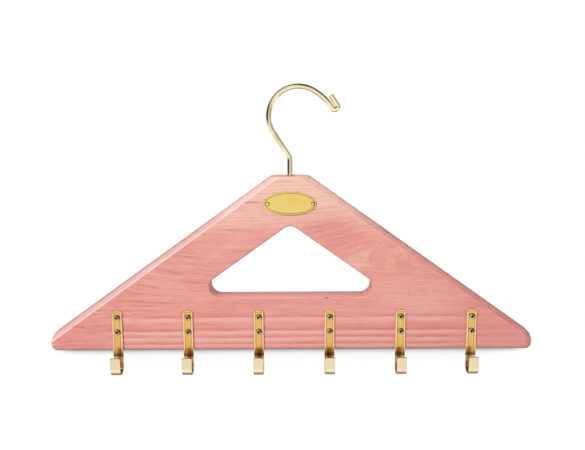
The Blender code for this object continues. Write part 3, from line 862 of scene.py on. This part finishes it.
    def tidy(self) -> "Form":
        """Join touching points and turn the faces outwards."""
        bmesh.ops.remove_doubles(self.work, verts=self.work.verts, dist=MERGE_DISTANCE)
        bmesh.ops.dissolve_degenerate(self.work, edges=self.work.edges, dist=MERGE_DISTANCE)
        bmesh.ops.recalc_face_normals(self.work, faces=self.work.faces)
        return self

    def moved(self, place: Matrix) -> "Form":
        """Move everything by a matrix."""
        bmesh.ops.transform(self.work, matrix=place, verts=self.work.verts)
        return self

    def add(self, other: "Form") -> "Form":
        """Take in another form, which is used up."""
        self.work.from_mesh(other.mesh("taken_in"))
        return self

    def mesh(self, name: str) -> bpy.types.Mesh:
        """End the form as a mesh."""
        made = bpy.data.meshes.new(name)
        self.work.to_mesh(made)
        self.work.free()
        return made

    @classmethod
    def of(cls, mesh: bpy.types.Mesh) -> "Form":
        """Start from a mesh."""
        form = cls()
        form.work.from_mesh(mesh)
        return form


def carved(name: str, mesh: bpy.types.Mesh, cutters: Form) -> bpy.types.Mesh:
    """Take the cutters out of a mesh.

    Args:
        name: The name of the result.
        mesh: The mesh to cut.
        cutters: Closed solids that don't touch each other.

    Returns:
        The cut mesh.
    """
    item = put(name, mesh)
    tool = put(name + "_tool", cutters.tidy().mesh(name + "_tool"))
    cut = item.modifiers.new("cut", "BOOLEAN")
    cut.operation = "DIFFERENCE"
    cut.solver = "EXACT"
    cut.object = tool
    bpy.context.view_layer.update()
    made = bpy.data.meshes.new_from_object(item.evaluated_get(bpy.context.evaluated_depsgraph_get()))
    for thing in (item, tool):
        bpy.data.objects.remove(thing, do_unlink=True)
    made.name = name
    return made


def note_places(mesh: bpy.types.Mesh, name: str, origin: Vector) -> None:
    """Store each point's place from an origin, in millimetres, as an attribute of the mesh."""
    places = mesh.attributes.new(name, "FLOAT_VECTOR", "POINT")
    for vert, place in zip(mesh.vertices, places.data):
        place.vector = (vert.co - origin) * MILLIMETRES


def deliver(name: str, mesh: bpy.types.Mesh, material: bpy.types.Material, body: str,
            nodes: Sequence[str], sharp_degrees: float = SHARP_DEGREES) -> None:
    """Make the finished piece, which stands for its nodes and rides on their body.

    Args:
        name: The piece's name.
        mesh: Its shape, in place.
        material: Its finish.
        body: The body that it rides on.
        nodes: The nodes that it stands for.
        sharp_degrees: The turn over which an edge stays sharp.
    """
    mesh.materials.clear()
    mesh.materials.append(material)
    mesh.shade_smooth()
    mesh.set_sharp_from_angle(angle=math.radians(sharp_degrees))
    piece = put(name, mesh)
    even = piece.modifiers.new("even_normals", "WEIGHTED_NORMAL")
    even.keep_sharp = True
    even.weight = NORMAL_WEIGHT
    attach(piece, body)
    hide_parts(*nodes)
    log.info("%s: %d faces on %s", name, len(mesh.polygons), body)


@dataclass
class CedarBoard:
    """The board: two chamfered slopes, a window that follows them, and bores for the wire and the screws."""

    finish: CedarFinish = field(default_factory=CedarFinish)
    top_edge: float = 0.030
    end_height: float = 0.012
    top_corner: float = 0.0045
    end_top_corner: float = 0.0052
    end_bottom_corner: float = 0.0045
    arris: float = 0.0011
    chamfer: float = 0.0042
    chamfer_arris: float = 0.00045
    bottom_rail: float = 0.0435
    side_rail: float = 0.039
    window_corner: float = 0.0085
    bush_bore: float = 0.003
    bush_bore_depth: float = 0.0079
    shank_bore: float = 0.0023
    washer_bore: float = 0.0045
    washer_bore_depth: float = 0.0055
    arris_segments: int = 4
    chamfer_segments: int = 3
    chamfer_corner_degrees: float = 35.0

    def __post_init__(self) -> None:
        """Take the board's box from the frame, and work out the places that follow from it."""
        self.low, self.high = node_box("board")
        self.middle_x = (self.low.x + self.high.x) / 2
        self.thickness = self.high.y - self.low.y
        self.height = self.high.z - self.low.z
        self.half_length = (self.high.x - self.low.x) / 2
        run = self.half_length - self.top_edge / 2
        self.slope_angle = math.atan2(self.height - self.end_height, run)
        self.slope = math.tan(self.slope_angle)
        lean = math.cos(self.slope_angle)
        self.window_apex = self.height + self.top_edge / 2 * self.slope - self.side_rail / lean
        self.window_half_base = (self.window_apex - self.bottom_rail) / self.slope
        self.window_top = self.low.z + self.window_apex - self.window_corner * (1 / lean - 1)
        self.washer_seat = self.window_top + self.washer_bore_depth

    def build(self, holes: Form) -> None:
        """Build the board, less the pilot holes that the screws and pins ask for."""
        form = self._outline().add(self._window())
        self._close_faces(form)
        form.round_off(form.sharp_edges(), self.arris, self.arris_segments)
        for side in (-1, 1):
            for face in (-1, 1):
                self._cut_chamfer(form, side, face)
        mesh = carved("board", form.tidy().mesh("board"), holes.add(self._bores()))
        deliver("cedar_board", mesh, self.finish.material(self), HANGER_BODY, ["board"])

    def _out(self, side: int) -> Vector:
        """Return the direction that one slope faces."""
        return Vector((side * math.sin(self.slope_angle), 0.0, math.cos(self.slope_angle)))

    def _top_end(self, side: int) -> Vector:
        """Return one end of the top edge, at mid thickness."""
        return Vector((self.middle_x + side * self.top_edge / 2, 0.0, self.high.z))

    def _outline(self) -> Form:
        """Saw the board's outline, with its corners rounded."""
        corners = []
        for side in (-1, 1):
            end = self.middle_x + side * self.half_length
            out = Vector((side, 0, 0))
            corners += [
                Corner(self._top_end(side).x, self.high.z, UP, self._out(side), self.top_corner),
                Corner(end, self.low.z + self.end_height, self._out(side), out, self.end_top_corner),
                Corner(end, self.low.z, out, -UP, self.end_bottom_corner),
            ]
        return Form().rounded(corners, self.low.y, self.high.y)

    def _window(self) -> Form:
        """Shape the plug that the window leaves out, and keep only its walls."""
        base = self.low.z + self.bottom_rail
        apex = self.low.z + self.window_apex
        corners = [Corner(self.middle_x, apex, self._out(-1), self._out(1), self.window_corner)]
        for side in (-1, 1):
            end = self.middle_x + side * self.window_half_base
            corners.append(Corner(end, base, self._out(side), -UP, self.window_corner))
        return Form().rounded(corners, self.low.y, self.high.y).open_ends()

    def _close_faces(self, form: Form) -> None:
        """Fill the front and the back face round the window."""
        form.open_ends()
        for y in (self.low.y, self.high.y):
            rim = [edge for edge in form.work.edges
                   if all(abs(vert.co.y - y) < MERGE_DISTANCE for vert in edge.verts)]
            bmesh.ops.triangle_fill(form.work, use_beauty=True, use_dissolve=False, edges=rim,
                                    normal=(0, 1, 0))
        form.tidy()

    def _cut_chamfer(self, form: Form, side: int, face: int) -> None:
        """Plane the arris off one slope, and break the chamfer's own two arrises."""
        normal = (self._out(side) + Vector((0, face, 0))).normalized()
        arris = self._top_end(side) + Vector((0, face * self.thickness / 2, 0))
        form.slice_off(arris - self.chamfer / math.sqrt(2) * normal, normal)
        least = math.radians(self.chamfer_corner_degrees)
        flat = form.largest_face(normal, SAME_WAY)
        edges = [edge for edge in flat.edges if edge.calc_face_angle(0.0) > least]
        form.round_off(edges, self.chamfer_arris, self.chamfer_segments)

    def _bores(self) -> Form:
        """Return the cutters of the bores on the wire's shank."""
        bush_seat = self.high.z - self.bush_bore_depth
        stretches = (
            (self.high.z + self.arris, bush_seat, self.bush_bore),
            (self.washer_seat, self.window_top - self.window_corner, self.washer_bore),
            (bush_seat - GAP, self.washer_seat + GAP, self.shank_bore),
        )
        form = Form()
        for start, end, radius in stretches:
            form.rod((self.middle_x, 0, start), (self.middle_x, 0, end), radius)
        return form


class WireBender:
    """Pulls a round wire through straights and bends in the XZ plane."""

    def __init__(self, start: Vector, radius: float, sides: int) -> None:
        """Start with one ring of the wire, heading up.

        Args:
            start: The middle of the wire's lower end.
            radius: The wire's radius.
            sides: How many flats go round it.
        """
        self.form = Form()
        made = bmesh.ops.create_circle(self.form.work, cap_ends=False, radius=radius, segments=sides,
                                       matrix=Matrix.Translation(start))
        self.ring = [*made["verts"], *{edge for vert in made["verts"] for edge in vert.link_edges}]
        self.place = start.copy()
        self.heading = math.pi / 2
        self.first_edges = self._edges()

    def _edges(self) -> list[Any]:
        """Return the edges of the last ring."""
        return only(self.ring, bmesh.types.BMEdge)

    def _verts(self) -> list[Any]:
        """Return the points of the last ring."""
        return only(self.ring, bmesh.types.BMVert)

    def pull(self, length: float, swell: float = 1.0) -> None:
        """Go straight on.

        Args:
            length: How far.
            swell: How many times thicker the wire is there.
        """
        way = Vector((math.cos(self.heading), 0.0, math.sin(self.heading)))
        made = bmesh.ops.extrude_edge_only(self.form.work, edges=self._edges())
        self.ring = [item for item in made["geom"] if not isinstance(item, bmesh.types.BMFace)]
        bmesh.ops.translate(self.form.work, vec=way * length, verts=self._verts())
        self.place += way * length
        if swell != 1.0:
            turn = Matrix.Rotation(math.pi / 2 - self.heading, 4, "Y")
            across = turn @ Matrix.Diagonal((swell, swell, 1.0, 1.0)) @ turn.inverted()
            space = Matrix.Translation(self.place) @ across @ Matrix.Translation(-self.place)
            bmesh.ops.transform(self.form.work, matrix=space, verts=self._verts())

    def bend(self, radius: float, angle: float, step_degrees: float = 4.0) -> None:
        """Go round an arc, to the left where the angle is positive.

        Args:
            radius: The radius of the wire's middle line.
            angle: How far the wire turns.
            step_degrees: How far it turns between two rings.
        """
        side = math.copysign(1.0, angle)
        to_centre = Vector((-math.sin(self.heading), 0.0, math.cos(self.heading))) * side * radius
        centre = self.place + to_centre
        steps = max(3, math.ceil(abs(math.degrees(angle)) / step_degrees))
        made = bmesh.ops.spin(self.form.work, geom=self.ring, cent=centre, axis=(0.0, -1.0, 0.0), angle=angle,
                              steps=steps, use_merge=False, use_duplicate=False)
        self.ring = [item for item in made["geom_last"] if not isinstance(item, bmesh.types.BMFace)]
        self.place = centre + Matrix.Rotation(-angle, 3, "Y") @ -to_centre
        self.heading += angle

    def finish(self) -> Form:
        """Close both ends."""
        for edges in (self.first_edges, self._edges()):
            bmesh.ops.edgeloop_fill(self.form.work, edges=edges)
        return self.form.tidy()


@dataclass
class WireHook:
    """The wire hook: an upset foot in the board, a shank, a neck, a crook and a folded tip."""

    board: CedarBoard
    finish: PlatedWireFinish = field(default_factory=PlatedWireFinish)
    wire_radius: float = 0.002
    crook_radius: float = 0.0232
    neck_rise: float = 0.0146
    neck_bend_radius: float = 0.007
    tip_arc_radius: float = 0.046
    tip_arc_start: float = math.radians(60)
    tip_arc_end: float = math.radians(34)
    fold_gap: float = 0.0004
    leg_length: float = 0.0093
    upset_flare: float = 0.0012
    upset_height: float = 0.0016
    washer_thickness: float = 0.0008
    end_round: float = 0.0004
    end_steps: tuple[tuple[float, float], ...] = ((0.7, 0.93), (0.3, 0.86))
    tip_step_degrees: float = 2.0
    fold_step_degrees: float = 10.0
    sharp_degrees: float = 40.0
    sides: int = 32

    def build(self) -> None:
        """Bend the wire into the hook."""
        board = self.board
        upset_top = board.washer_seat - self.washer_thickness - 2 * GAP
        start = Vector((board.middle_x, 0.0, upset_top - self.upset_height))
        bender = WireBender(start, self.wire_radius, self.sides)
        self._upset(bender)
        crook_z = self.wire_radius - self.crook_radius
        corner = Vector((board.middle_x, 0.0, board.high.z + self.neck_rise))
        to_crook = Vector((0.0, 0.0, crook_z)) - corner
        reach = to_crook.length
        neck = math.atan2(to_crook.z, to_crook.x) + math.asin(self.crook_radius / reach)
        lean = neck - math.pi / 2
        setback = self.neck_bend_radius * math.tan(lean / 2)
        bender.pull(corner.z - setback - bender.place.z)
        bender.bend(self.neck_bend_radius, lean)
        bender.pull(math.sqrt(reach ** 2 - self.crook_radius ** 2) - setback)
        bender.bend(self.crook_radius, -(neck + math.pi / 2 - self.tip_arc_start))
        bender.bend(self.tip_arc_radius, self.tip_arc_end - self.tip_arc_start, self.tip_step_degrees)
        bender.bend(self.wire_radius + self.fold_gap / 2, math.pi, self.fold_step_degrees)
        bender.pull(self.leg_length - self.end_round)
        for share, swell in self.end_steps:
            bender.pull(self.end_round * share, swell)
        mesh = bender.finish().mesh("wire_hook")
        deliver("bent_wire_hook", mesh, self.finish.material(), HOOK_BODY, ["wire_hook"],
                self.sharp_degrees)

    def _upset(self, bender: WireBender) -> None:
        """Swell the foot of the wire below the washer."""
        full = 1 + self.upset_flare / self.wire_radius
        part = (1 + full) / 2
        rise = self.upset_height / 4
        steps = ((0.3, part), (0.7, full / part), (2.0, 1.0), (0.7, part / full), (0.3, 1 / part))
        for share, swell in steps:
            bender.pull(rise * share, swell)


@dataclass
class SwivelFittings:
    """The bush in the board's top edge, and the washer that carries the board on the wire's foot."""

    finish: bpy.types.Material
    bore: float = 0.0023
    steps: int = 64
    edge: float = 0.00012
    edge_segments: int = 3

    def build(self) -> None:
        """Turn both rings."""
        self._ring("brass_bush", "shank_bush")
        self._ring("brass_washer", "shank_washer")

    def _ring(self, name: str, node: str) -> None:
        """Turn one ring to the box of its node."""
        low, high = node_box(node)
        middle = (low + high) / 2
        outer = (high.x - low.x) / 2
        half = (high.z - low.z) / 2
        profile = [(self.bore, -half), (outer, -half), (outer, half), (self.bore, half), (self.bore, -half)]
        form = Form().turn(profile, self.steps)
        form.round_off(form.sharp_edges(), self.edge, self.edge_segments)
        form.moved(Matrix.Translation(middle))
        deliver(name, form.mesh(name), self.finish, HANGER_BODY, [node])


@dataclass
class Fastener:
    """A domed head on a shank that ends in a point."""

    DOME_STEPS = 10
    RIM_BREAK = 0.3

    head_radius: float
    head_height: float
    shank_radius: float
    length: float
    point: float
    rim: float
    steps: int = 40

    def dome_height(self, reach: float) -> float:
        """Return the height of the head's dome at a distance from its axis."""
        dome = self.head_height - self.rim
        sphere = (self.head_radius ** 2 + dome ** 2) / (2 * dome)
        return self.head_height - sphere + math.sqrt(sphere ** 2 - reach ** 2)

    def form(self) -> Form:
        """Turn the fastener, with the underside of its head at Z = 0."""
        turns = [math.pi / 2 * step / self.DOME_STEPS for step in range(self.DOME_STEPS + 1)]
        reaches = [self.head_radius * math.sin(turn) for turn in turns]
        profile = [(reach, self.dome_height(reach)) for reach in reaches]
        profile += [
            (self.head_radius, self.rim * self.RIM_BREAK),
            (self.head_radius - self.rim * self.RIM_BREAK, 0.0),
            (self.shank_radius, 0.0),
            (self.shank_radius, self.point - self.length),
            (0.0, -self.length),
        ]
        return Form().turn(profile, self.steps)

    def drill(self, form: Form, seat: Vector, mouth: float) -> None:
        """Add the cutter of the fastener's blind hole, whose mouth is given, to a form."""
        end = (seat.x, seat.y + self.length + GAP, seat.z)
        form.rod((seat.x, mouth, seat.z), end, self.shank_radius + GAP)

    @staticmethod
    def fit(name: str, mesh: bpy.types.Mesh, seat: Vector, brass: bpy.types.Material, node: str,
            twist: float = 0.0) -> None:
        """Lay a fastener's mesh with its head's underside on its seat and the head to the front.

        Args:
            name: The piece's name.
            mesh: The fastener as it was turned.
            seat: The place of its seat.
            brass: Its finish.
            node: The node that it stands for.
            twist: How far it was screwed round.
        """
        mesh.transform(Matrix.Translation(seat) @ LYING @ Matrix.Rotation(twist, 4, "Z"))
        note_places(mesh, ScrewBrassFinish.SEATS, seat)
        deliver(name, mesh, brass, HANGER_BODY, [node])


@dataclass
class BeltHooks:
    """The six belt hooks: blanks with a pressed line, drilled and then bent, each held by two screws."""

    BLANK_PLACES = "blank_places"

    board: CedarBoard
    brass: bpy.types.Material
    finish: StripBrassFinish = field(default_factory=StripBrassFinish)
    count: int = 6
    width: float = 0.008
    thickness: float = 0.0014
    top_corner: float = 0.0024
    tip_corner: float = 0.0014
    edge: float = 0.0005
    plate_rise: float = 0.0335
    drop: float = 0.0109
    inner_radius: float = 0.0056
    tongue: float = 0.0089
    upper_screw_from_top: float = 0.0058
    screw_spacing: float = 0.012
    line_from_edge: float = 0.0014
    line_width: float = 0.0006
    line_depth: float = 0.0001
    bend_steps: int = 36
    recess_arm: float = 0.0017
    recess_slot: float = 0.0013
    recess_depth: float = 0.001
    recess_taper: float = 0.6
    top_segments: int = 10
    tip_segments: int = 8
    edge_segments: int = 5
    hook_twist: float = 37.0
    row_twists: tuple[float, float] = (20.0, 65.0)
    screw: Fastener = field(default_factory=lambda: Fastener(
        head_radius=0.0024, head_height=0.0014, shank_radius=0.0013, length=0.0127, point=0.0025,
        rim=0.00025))

    def __post_init__(self) -> None:
        """Work out the places that follow from the sizes."""
        self.straight = self.plate_rise + self.drop
        self.bend_radius = self.inner_radius + self.thickness / 2
        self.bend_length = math.pi * self.bend_radius
        self.line_across = self.width / 2 - self.line_from_edge - self.line_width / 2
        self.back = self.board.low.y - GAP
        self.seat_y = self.back - self.thickness - GAP
        self.screws_down = (self.upper_screw_from_top, self.upper_screw_from_top + self.screw_spacing)

    def _middles(self) -> list[float]:
        """Return the X of each hook, from the frame."""
        boxes = [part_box(f"belt_hook_{number}") for number in range(1, self.count + 1)]
        return [(low[0] + high[0]) / 2 for low, high in boxes]

    def _screw_heights(self) -> dict[str, float]:
        """Return the Z of the two screws of a hook."""
        upper = self.board.low.z + self.plate_rise - self.upper_screw_from_top
        return {"upper": upper, "lower": upper - self.screw_spacing}

    def pilot_holes(self) -> Form:
        """Return the cutters of the screws' holes in the board."""
        form = Form()
        mouth = self.board.low.y - self.board.arris
        for x in self._middles():
            for z in self._screw_heights().values():
                self.screw.drill(form, Vector((x, self.seat_y, z)), mouth)
        return form

    def build(self) -> None:
        """Build the hooks and their screws."""
        blank = self._blank()
        strip = self.finish.material(self)
        screw = self._screw_mesh()
        for number, x in enumerate(self._middles(), 1):
            mesh = blank.copy()
            mesh.transform(Matrix.Translation((x, self.back, self.board.low.z)))
            deliver(f"strip_hook_{number}", mesh, strip, HANGER_BODY, [f"belt_hook_{number}"])
            for (row, z), more in zip(self._screw_heights().items(), self.row_twists):
                twist = math.radians(self.hook_twist * number + more)
                self.screw.fit(f"brass_screw_{number}_{row}", screw.copy(), Vector((x, self.seat_y, z)),
                               self.brass, f"hook_{number}_screw_{row}", twist)

    def _blank(self) -> bpy.types.Mesh:
        """Shape the flat blank, and bend it with its back face at Y = 0 and the board's bottom at Z = 0."""
        length = self.straight + self.bend_length + self.tongue
        half = self.width / 2
        form = Form().block((-half, -self.thickness, -length), (half, 0.0, 0.0))
        for side in (-1, 1):
            form.round_off(form.edges_at(side * half, 0.0), self.top_corner, self.top_segments)
            form.round_off(form.edges_at(side * half, -length), self.tip_corner, self.tip_segments)
        form.round_off(form.sharp_edges(), self.edge, self.edge_segments)
        form.mark(-self.straight)
        form.engrave(form.largest_face(FRONT), self.line_from_edge - self.edge, self.line_width,
                     self.line_depth)
        cutters = Form()
        bore = self.screw.shank_radius + GAP
        for z in self._screw_heights().values():
            down = z - self.board.low.z - self.plate_rise
            cutters.rod((0, -2 * self.thickness, down), (0, self.thickness, down), bore)
        form = Form.of(carved("belt_hook_blank", form.tidy().mesh("belt_hook_blank"), cutters))
        for step in range(self.bend_steps + 1):
            form.mark(-self.straight - self.bend_length * step / self.bend_steps)
        mesh = form.mesh("belt_hook")
        self._bend(mesh)
        return mesh

    def _bend(self, mesh: bpy.types.Mesh) -> None:
        """Note each point's place on the blank in millimetres, and then bend the blank into its J."""
        note_places(mesh, self.BLANK_PLACES, Vector())
        outer = self.inner_radius + self.thickness
        for vert in mesh.vertices:
            _, y, z = vert.co
            past = max(0.0, -self.straight - z)
            turn = min(past / self.bend_radius, math.pi)
            reach = outer + y
            tongue = max(0.0, past - self.bend_length)
            fall = min(-z, self.straight)
            vert.co.y = -outer + reach * math.cos(turn)
            vert.co.z = self.plate_rise - fall - reach * math.sin(turn) + tongue

    def _screw_mesh(self) -> bpy.types.Mesh:
        """Turn a screw and sink its cross recess."""
        turned = self.screw.form().mesh("screw")
        half = self.recess_slot / 2
        tool = Form().block((-half, -half, -self.recess_depth), (half, half, self.recess_depth))
        for face in [face for face in tool.work.faces if abs(face.normal.z) < FACING]:
            out = face.normal.copy()
            grown = bmesh.ops.extrude_discrete_faces(tool.work, faces=[face])["faces"][0]
            bmesh.ops.translate(tool.work, vec=out * (self.recess_arm - half), verts=grown.verts)
        floor = [vert for vert in tool.work.verts if vert.co.z < 0]
        bmesh.ops.scale(tool.work, vec=(self.recess_taper, self.recess_taper, 1.0), verts=floor)
        mesh = carved("screw", turned, tool.moved(Matrix.Translation((0, 0, self.screw.head_height))))
        # Mark the points in the cross recess, where the material paints shade.
        hollows = mesh.attributes.new(ScrewBrassFinish.HOLLOWS, "FLOAT", "POINT")
        for vert, hollow_shade in zip(mesh.vertices, hollows.data):
            reach = math.hypot(vert.co.x, vert.co.y)
            within = reach < self.recess_arm + GAP
            hollow_shade.value = float(within and 0 < vert.co.z < self.screw.dome_height(reach) - GAP / 10)
        return mesh


@dataclass
class OvalPlate:
    """The bare oval plate: a thin brass oval with a plain engraved border, held by two domed pins."""

    board: CedarBoard
    brass: bpy.types.Material
    finish: PlateBrassFinish = field(default_factory=PlateBrassFinish)
    rim: float = 0.0003
    border: float = 0.0009
    line_width: float = 0.0006
    line_depth: float = 0.00016
    pin_from_end: float = 0.003
    sides: int = 144
    rim_segments: int = 4
    pin: Fastener = field(default_factory=lambda: Fastener(
        head_radius=0.0014, head_height=0.0007, shank_radius=0.0006, length=0.009, point=0.0012,
        rim=0.0001, steps=32))

    def __post_init__(self) -> None:
        """Take the plate's box from the frame."""
        low, high = node_box("name_plate")
        self.middle = (low + high) / 2
        self.length = high.x - low.x
        self.height = high.z - low.z
        self.thickness = high.y - low.y
        self.front = low.y
        reach = self.length / 2 - self.pin_from_end
        self.pins = {side: Vector((self.middle.x + way * reach, self.front - GAP, self.middle.z))
                     for side, way in (("left", -1), ("right", 1))}

    def pin_holes(self) -> Form:
        """Return the cutters of the pins' holes in the board."""
        form = Form()
        for seat in self.pins.values():
            self.pin.drill(form, seat, self.board.low.y - self.board.arris / 4)
        return form

    def build(self) -> None:
        """Build the plate and its pins."""
        form = Form()
        bmesh.ops.create_circle(form.work, cap_ends=True, radius=1.0, segments=self.sides, matrix=LYING)
        bmesh.ops.scale(form.work, vec=(self.length / 2, 1.0, self.height / 2), verts=form.work.verts)
        made = bmesh.ops.extrude_face_region(form.work, geom=list(form.work.faces))
        grown = only(made["geom"], bmesh.types.BMVert)
        bmesh.ops.translate(form.work, vec=(0, self.thickness, 0), verts=grown)
        form.moved(Matrix.Translation((self.middle.x, self.front, self.middle.z))).tidy()
        form.round_off(form.sharp_edges(), self.rim, self.rim_segments)
        form.engrave(form.largest_face(FRONT), self.border - self.rim, self.line_width, self.line_depth)
        cutters = Form()
        bore = self.pin.shank_radius + GAP
        for seat in self.pins.values():
            cutters.rod(seat, (seat.x, self.board.low.y, seat.z), bore)
        mesh = carved("name_plate", form.tidy().mesh("name_plate"), cutters)
        deliver("oval_plate", mesh, self.finish.material(self), HANGER_BODY, ["name_plate"])
        for side, seat in self.pins.items():
            self.pin.fit(f"brass_pin_{side}", self.pin.form().mesh("plate_pin"), seat, self.brass,
                         f"plate_pin_{side}")


@dataclass(frozen=True)
class Lamp:
    """A square soft lamp that faces the hanger, which gloss sees only as a part of the surroundings."""

    name: str
    place: Point
    size: float
    watts: float


@dataclass
class Studio:
    """The white surroundings, the floor, the card with a painted shadow behind the board's edge, the lamps
    and the camera.
    """

    board: CedarBoard
    aim: Point = (-0.007, 0.0, -0.12)
    ambient: float = 0.30
    floor_drop: float = 1.1
    floor_size: float = 7.0
    floor_seen: Colour = (0.4, 0.4, 0.4)
    floor_paper: Colour = (0.8, 0.8, 0.8)
    floor_in_gloss: Colour = (0.38, 0.35, 0.31)
    floor_glow: float = 0.85
    card_margin: float = 0.0007
    card_side: float = 0.018
    card_rise: float = 0.004
    card_fall: float = 0.040
    card_fade: float = 0.010
    card_top_fade: float = 0.003
    card_shade: Colour = (0.30, 0.25, 0.25)
    shade_reaches: tuple[float, float] = (0.012, 0.045)
    shade_samples: int = 16
    camera_place: Point = (-0.0022, -0.5795, -0.00713)
    camera_pitch: float = 0.1706
    camera_yaw: float = -0.005
    camera_roll: float = 0.0065
    focal_pixels: float = 737.3
    picture_width: float = 585.0
    sensor: float = 36.0
    lamps: tuple[Lamp, ...] = (
        Lamp("key", (-0.80, -1.50, 1.00), 0.9, 38.5),
        Lamp("fill", (1.3, -1.2, 0.1), 1.0, 3.0),
        Lamp("back", (0.3, 1.7, -0.1), 1.2, 13.0),
    )

    def build(self) -> None:
        """Set the whole studio up."""
        self._world()
        self._floor()
        self._card()
        for lamp in self.lamps:
            self._lamp(lamp)
        self._camera()
        bpy.context.scene.view_settings.view_transform = "Standard"

    def _world(self) -> None:
        """Make the surroundings white, in gloss with dark flags above and at the sides and a greyer back."""
        paint = Paint(bpy.data.worlds.new("studio"))
        camera, gloss = paint.rays()
        x, y, z = paint.parts(paint.place("Generated"))
        left = (z * 0.66 - x * 0.75).ease(0.08, 0.32) * z.ease(-0.3, -0.1)
        lamp_at = (Vector(self.lamps[0].place) - Vector(self.aim)).normalized()
        window = (x * lamp_at.x + y * lamp_at.y + z * lamp_at.z).ease(0.87, 0.94)
        right = y.ease(-0.84, -0.7) * y.ease(-0.16, -0.34) * (x * 0.86 + z * 0.5).ease(0.3, 0.5)
        flags = left.most(z.ease(0.5, 0.65)).most(right * 0.9) * y.ease(0.65, 0.45) * (1.0 - window) * 0.93
        behind = y.ease(-0.1, 0.25) * y.ease(0.97, 0.85) * 0.5
        level = gloss * (1.0 - flags.most(behind)) + (1.0 - gloss) * self.ambient
        colour = paint.mix(camera, paint.mix(level, BLACK, WHITE), WHITE)
        bpy.context.scene.world = paint.end_in(paint.shader("Background", Color=colour, Strength=1.0))

    def _sheet(self, name: str, low: Point, high: Point, material: bpy.types.Material) -> bpy.types.Object:
        """Add a flat stage sheet, level or upright, between two corners."""
        form = Form()
        size = Vector(high) - Vector(low)
        level = size.z == 0
        turn = Matrix.Identity(4) if level else LYING
        middle = (Vector(low) + Vector(high)) / 2
        span = (size.x, size.y if level else size.z, 1.0, 1.0)
        bmesh.ops.create_grid(form.work, x_segments=1, y_segments=1, size=0.5,
                              matrix=Matrix.Translation(middle) @ turn @ Matrix.Diagonal(span))
        sheet = put(name, form.mesh(name))
        sheet.data.materials.append(material)
        return sheet

    def _floor(self) -> None:
        """Lay the pale floor below the hanging object, white to the eye apart from the shadow on it."""
        half = self.floor_size / 2
        z = self.board.low.z - self.floor_drop
        paint = Paint(bpy.data.materials.new("floor_paper"))
        camera, gloss = paint.rays()
        x, y, _ = paint.parts(paint.place())
        dark = gloss * y.ease(-0.45, -0.2) * abs(x).ease(1.5, 1.0)
        paper = paint.shader("BsdfDiffuse", Color=paint.mix(camera, self.floor_seen, self.floor_paper))
        strength = camera.most(gloss) * self.floor_glow
        glow = paint.shader("Emission", Color=(*WHITE, 1.0), Strength=strength)
        lit = paint.node("AddShader", {}, {0: paper, 1: glow}).outputs[0]
        grey = paint.shader("Emission", Color=(*self.floor_in_gloss, 1.0))
        both = paint.node("MixShader", {}, {0: dark, 1: lit, 2: grey}).outputs[0]
        self._sheet("floor", (-half, -half, z), (half, half, z), paint.end_in(both))

    def _card(self) -> None:
        """Hold a strip of white card behind the board's lower edge, with a shadow there painted from ambient
        occlusion.
        """
        low, high = self.board.low, self.board.high
        left, right = low.x - self.card_side, high.x + self.card_side
        bottom, top = low.z - self.card_fall, low.z + self.card_rise
        back = high.y + self.card_margin
        paint = Paint(bpy.data.materials.new("shadow_card"))
        x, _, z = paint.parts(paint.place())
        inside = (x - left).least(right - x).ease(0.0, self.card_fade)
        above = (z - bottom).ease(0.0, self.card_fade * 1.6) * z.ease(top, top - self.card_top_fade)
        facing = 1.0 - Term(paint, paint.node("NewGeometry").outputs["Backfacing"])
        settings = {"samples": self.shade_samples}
        near, far = (Term(paint, paint.node("AmbientOcclusion", settings, {"Distance": reach}).outputs["AO"])
                     for reach in self.shade_reaches)
        # The shadow is painted: the card darkens where ambient occlusion finds the board and the hooks near
        # it, not where the lamps are blocked.
        light = near.ease(0.78, 0.97) * (0.72 + far.ease(0.55, 0.74) * 0.28)
        lit = paint.shader("Emission", Color=paint.mix(light, self.card_shade, WHITE), Strength=1.0)
        clear = paint.shader("BsdfTransparent")
        mixed = paint.node("MixShader", {}, {0: inside * above * facing, 1: clear, 2: lit}).outputs[0]
        sheet = self._sheet("shadow_card", (left, back, bottom), (right, back, top), paint.end_in(mixed))
        for ray in ("diffuse", "glossy", "transmission", "shadow"):
            setattr(sheet, f"visible_{ray}", False)
        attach(sheet, HANGER_BODY)

    def _lamp(self, lamp: Lamp) -> None:
        """Hang one lamp."""
        light = bpy.data.lights.new(lamp.name, "AREA")
        light.size = lamp.size
        light.energy = lamp.watts
        item = put(lamp.name, light)
        item.location = lamp.place
        item.rotation_euler = (Vector(self.aim) - Vector(lamp.place)).to_track_quat("-Z", "Y").to_euler()
        item.visible_glossy = False

    def _camera(self) -> None:
        """Set the camera where the picture was taken from."""
        data = bpy.data.cameras.new("camera")
        data.sensor_fit = "HORIZONTAL"
        data.sensor_width = self.sensor
        data.lens = self.focal_pixels / self.picture_width * self.sensor
        camera = put("camera", data)
        level = Euler((math.pi / 2 - self.camera_pitch, 0.0, -self.camera_yaw)).to_matrix().to_4x4()
        tilt = Matrix.Rotation(-self.camera_roll, 4, "Z")
        camera.matrix_world = Matrix.Translation(self.camera_place) @ level @ tilt
        bpy.context.scene.camera = camera


def main() -> None:
    """Build the hanger's sub-assemblies in order, and the studio round them."""
    logging.basicConfig(level=logging.INFO, format="%(name)s: %(message)s")
    board = CedarBoard()
    Studio(board).build()
    brass = ScrewBrassFinish().material()
    hooks = BeltHooks(board, brass)
    plate = OvalPlate(board, brass)
    board.build(hooks.pilot_holes().add(plate.pin_holes()))
    WireHook(board).build()
    SwivelFittings(brass).build()
    hooks.build()
    plate.build()


if __name__ == "__main__":
    main()
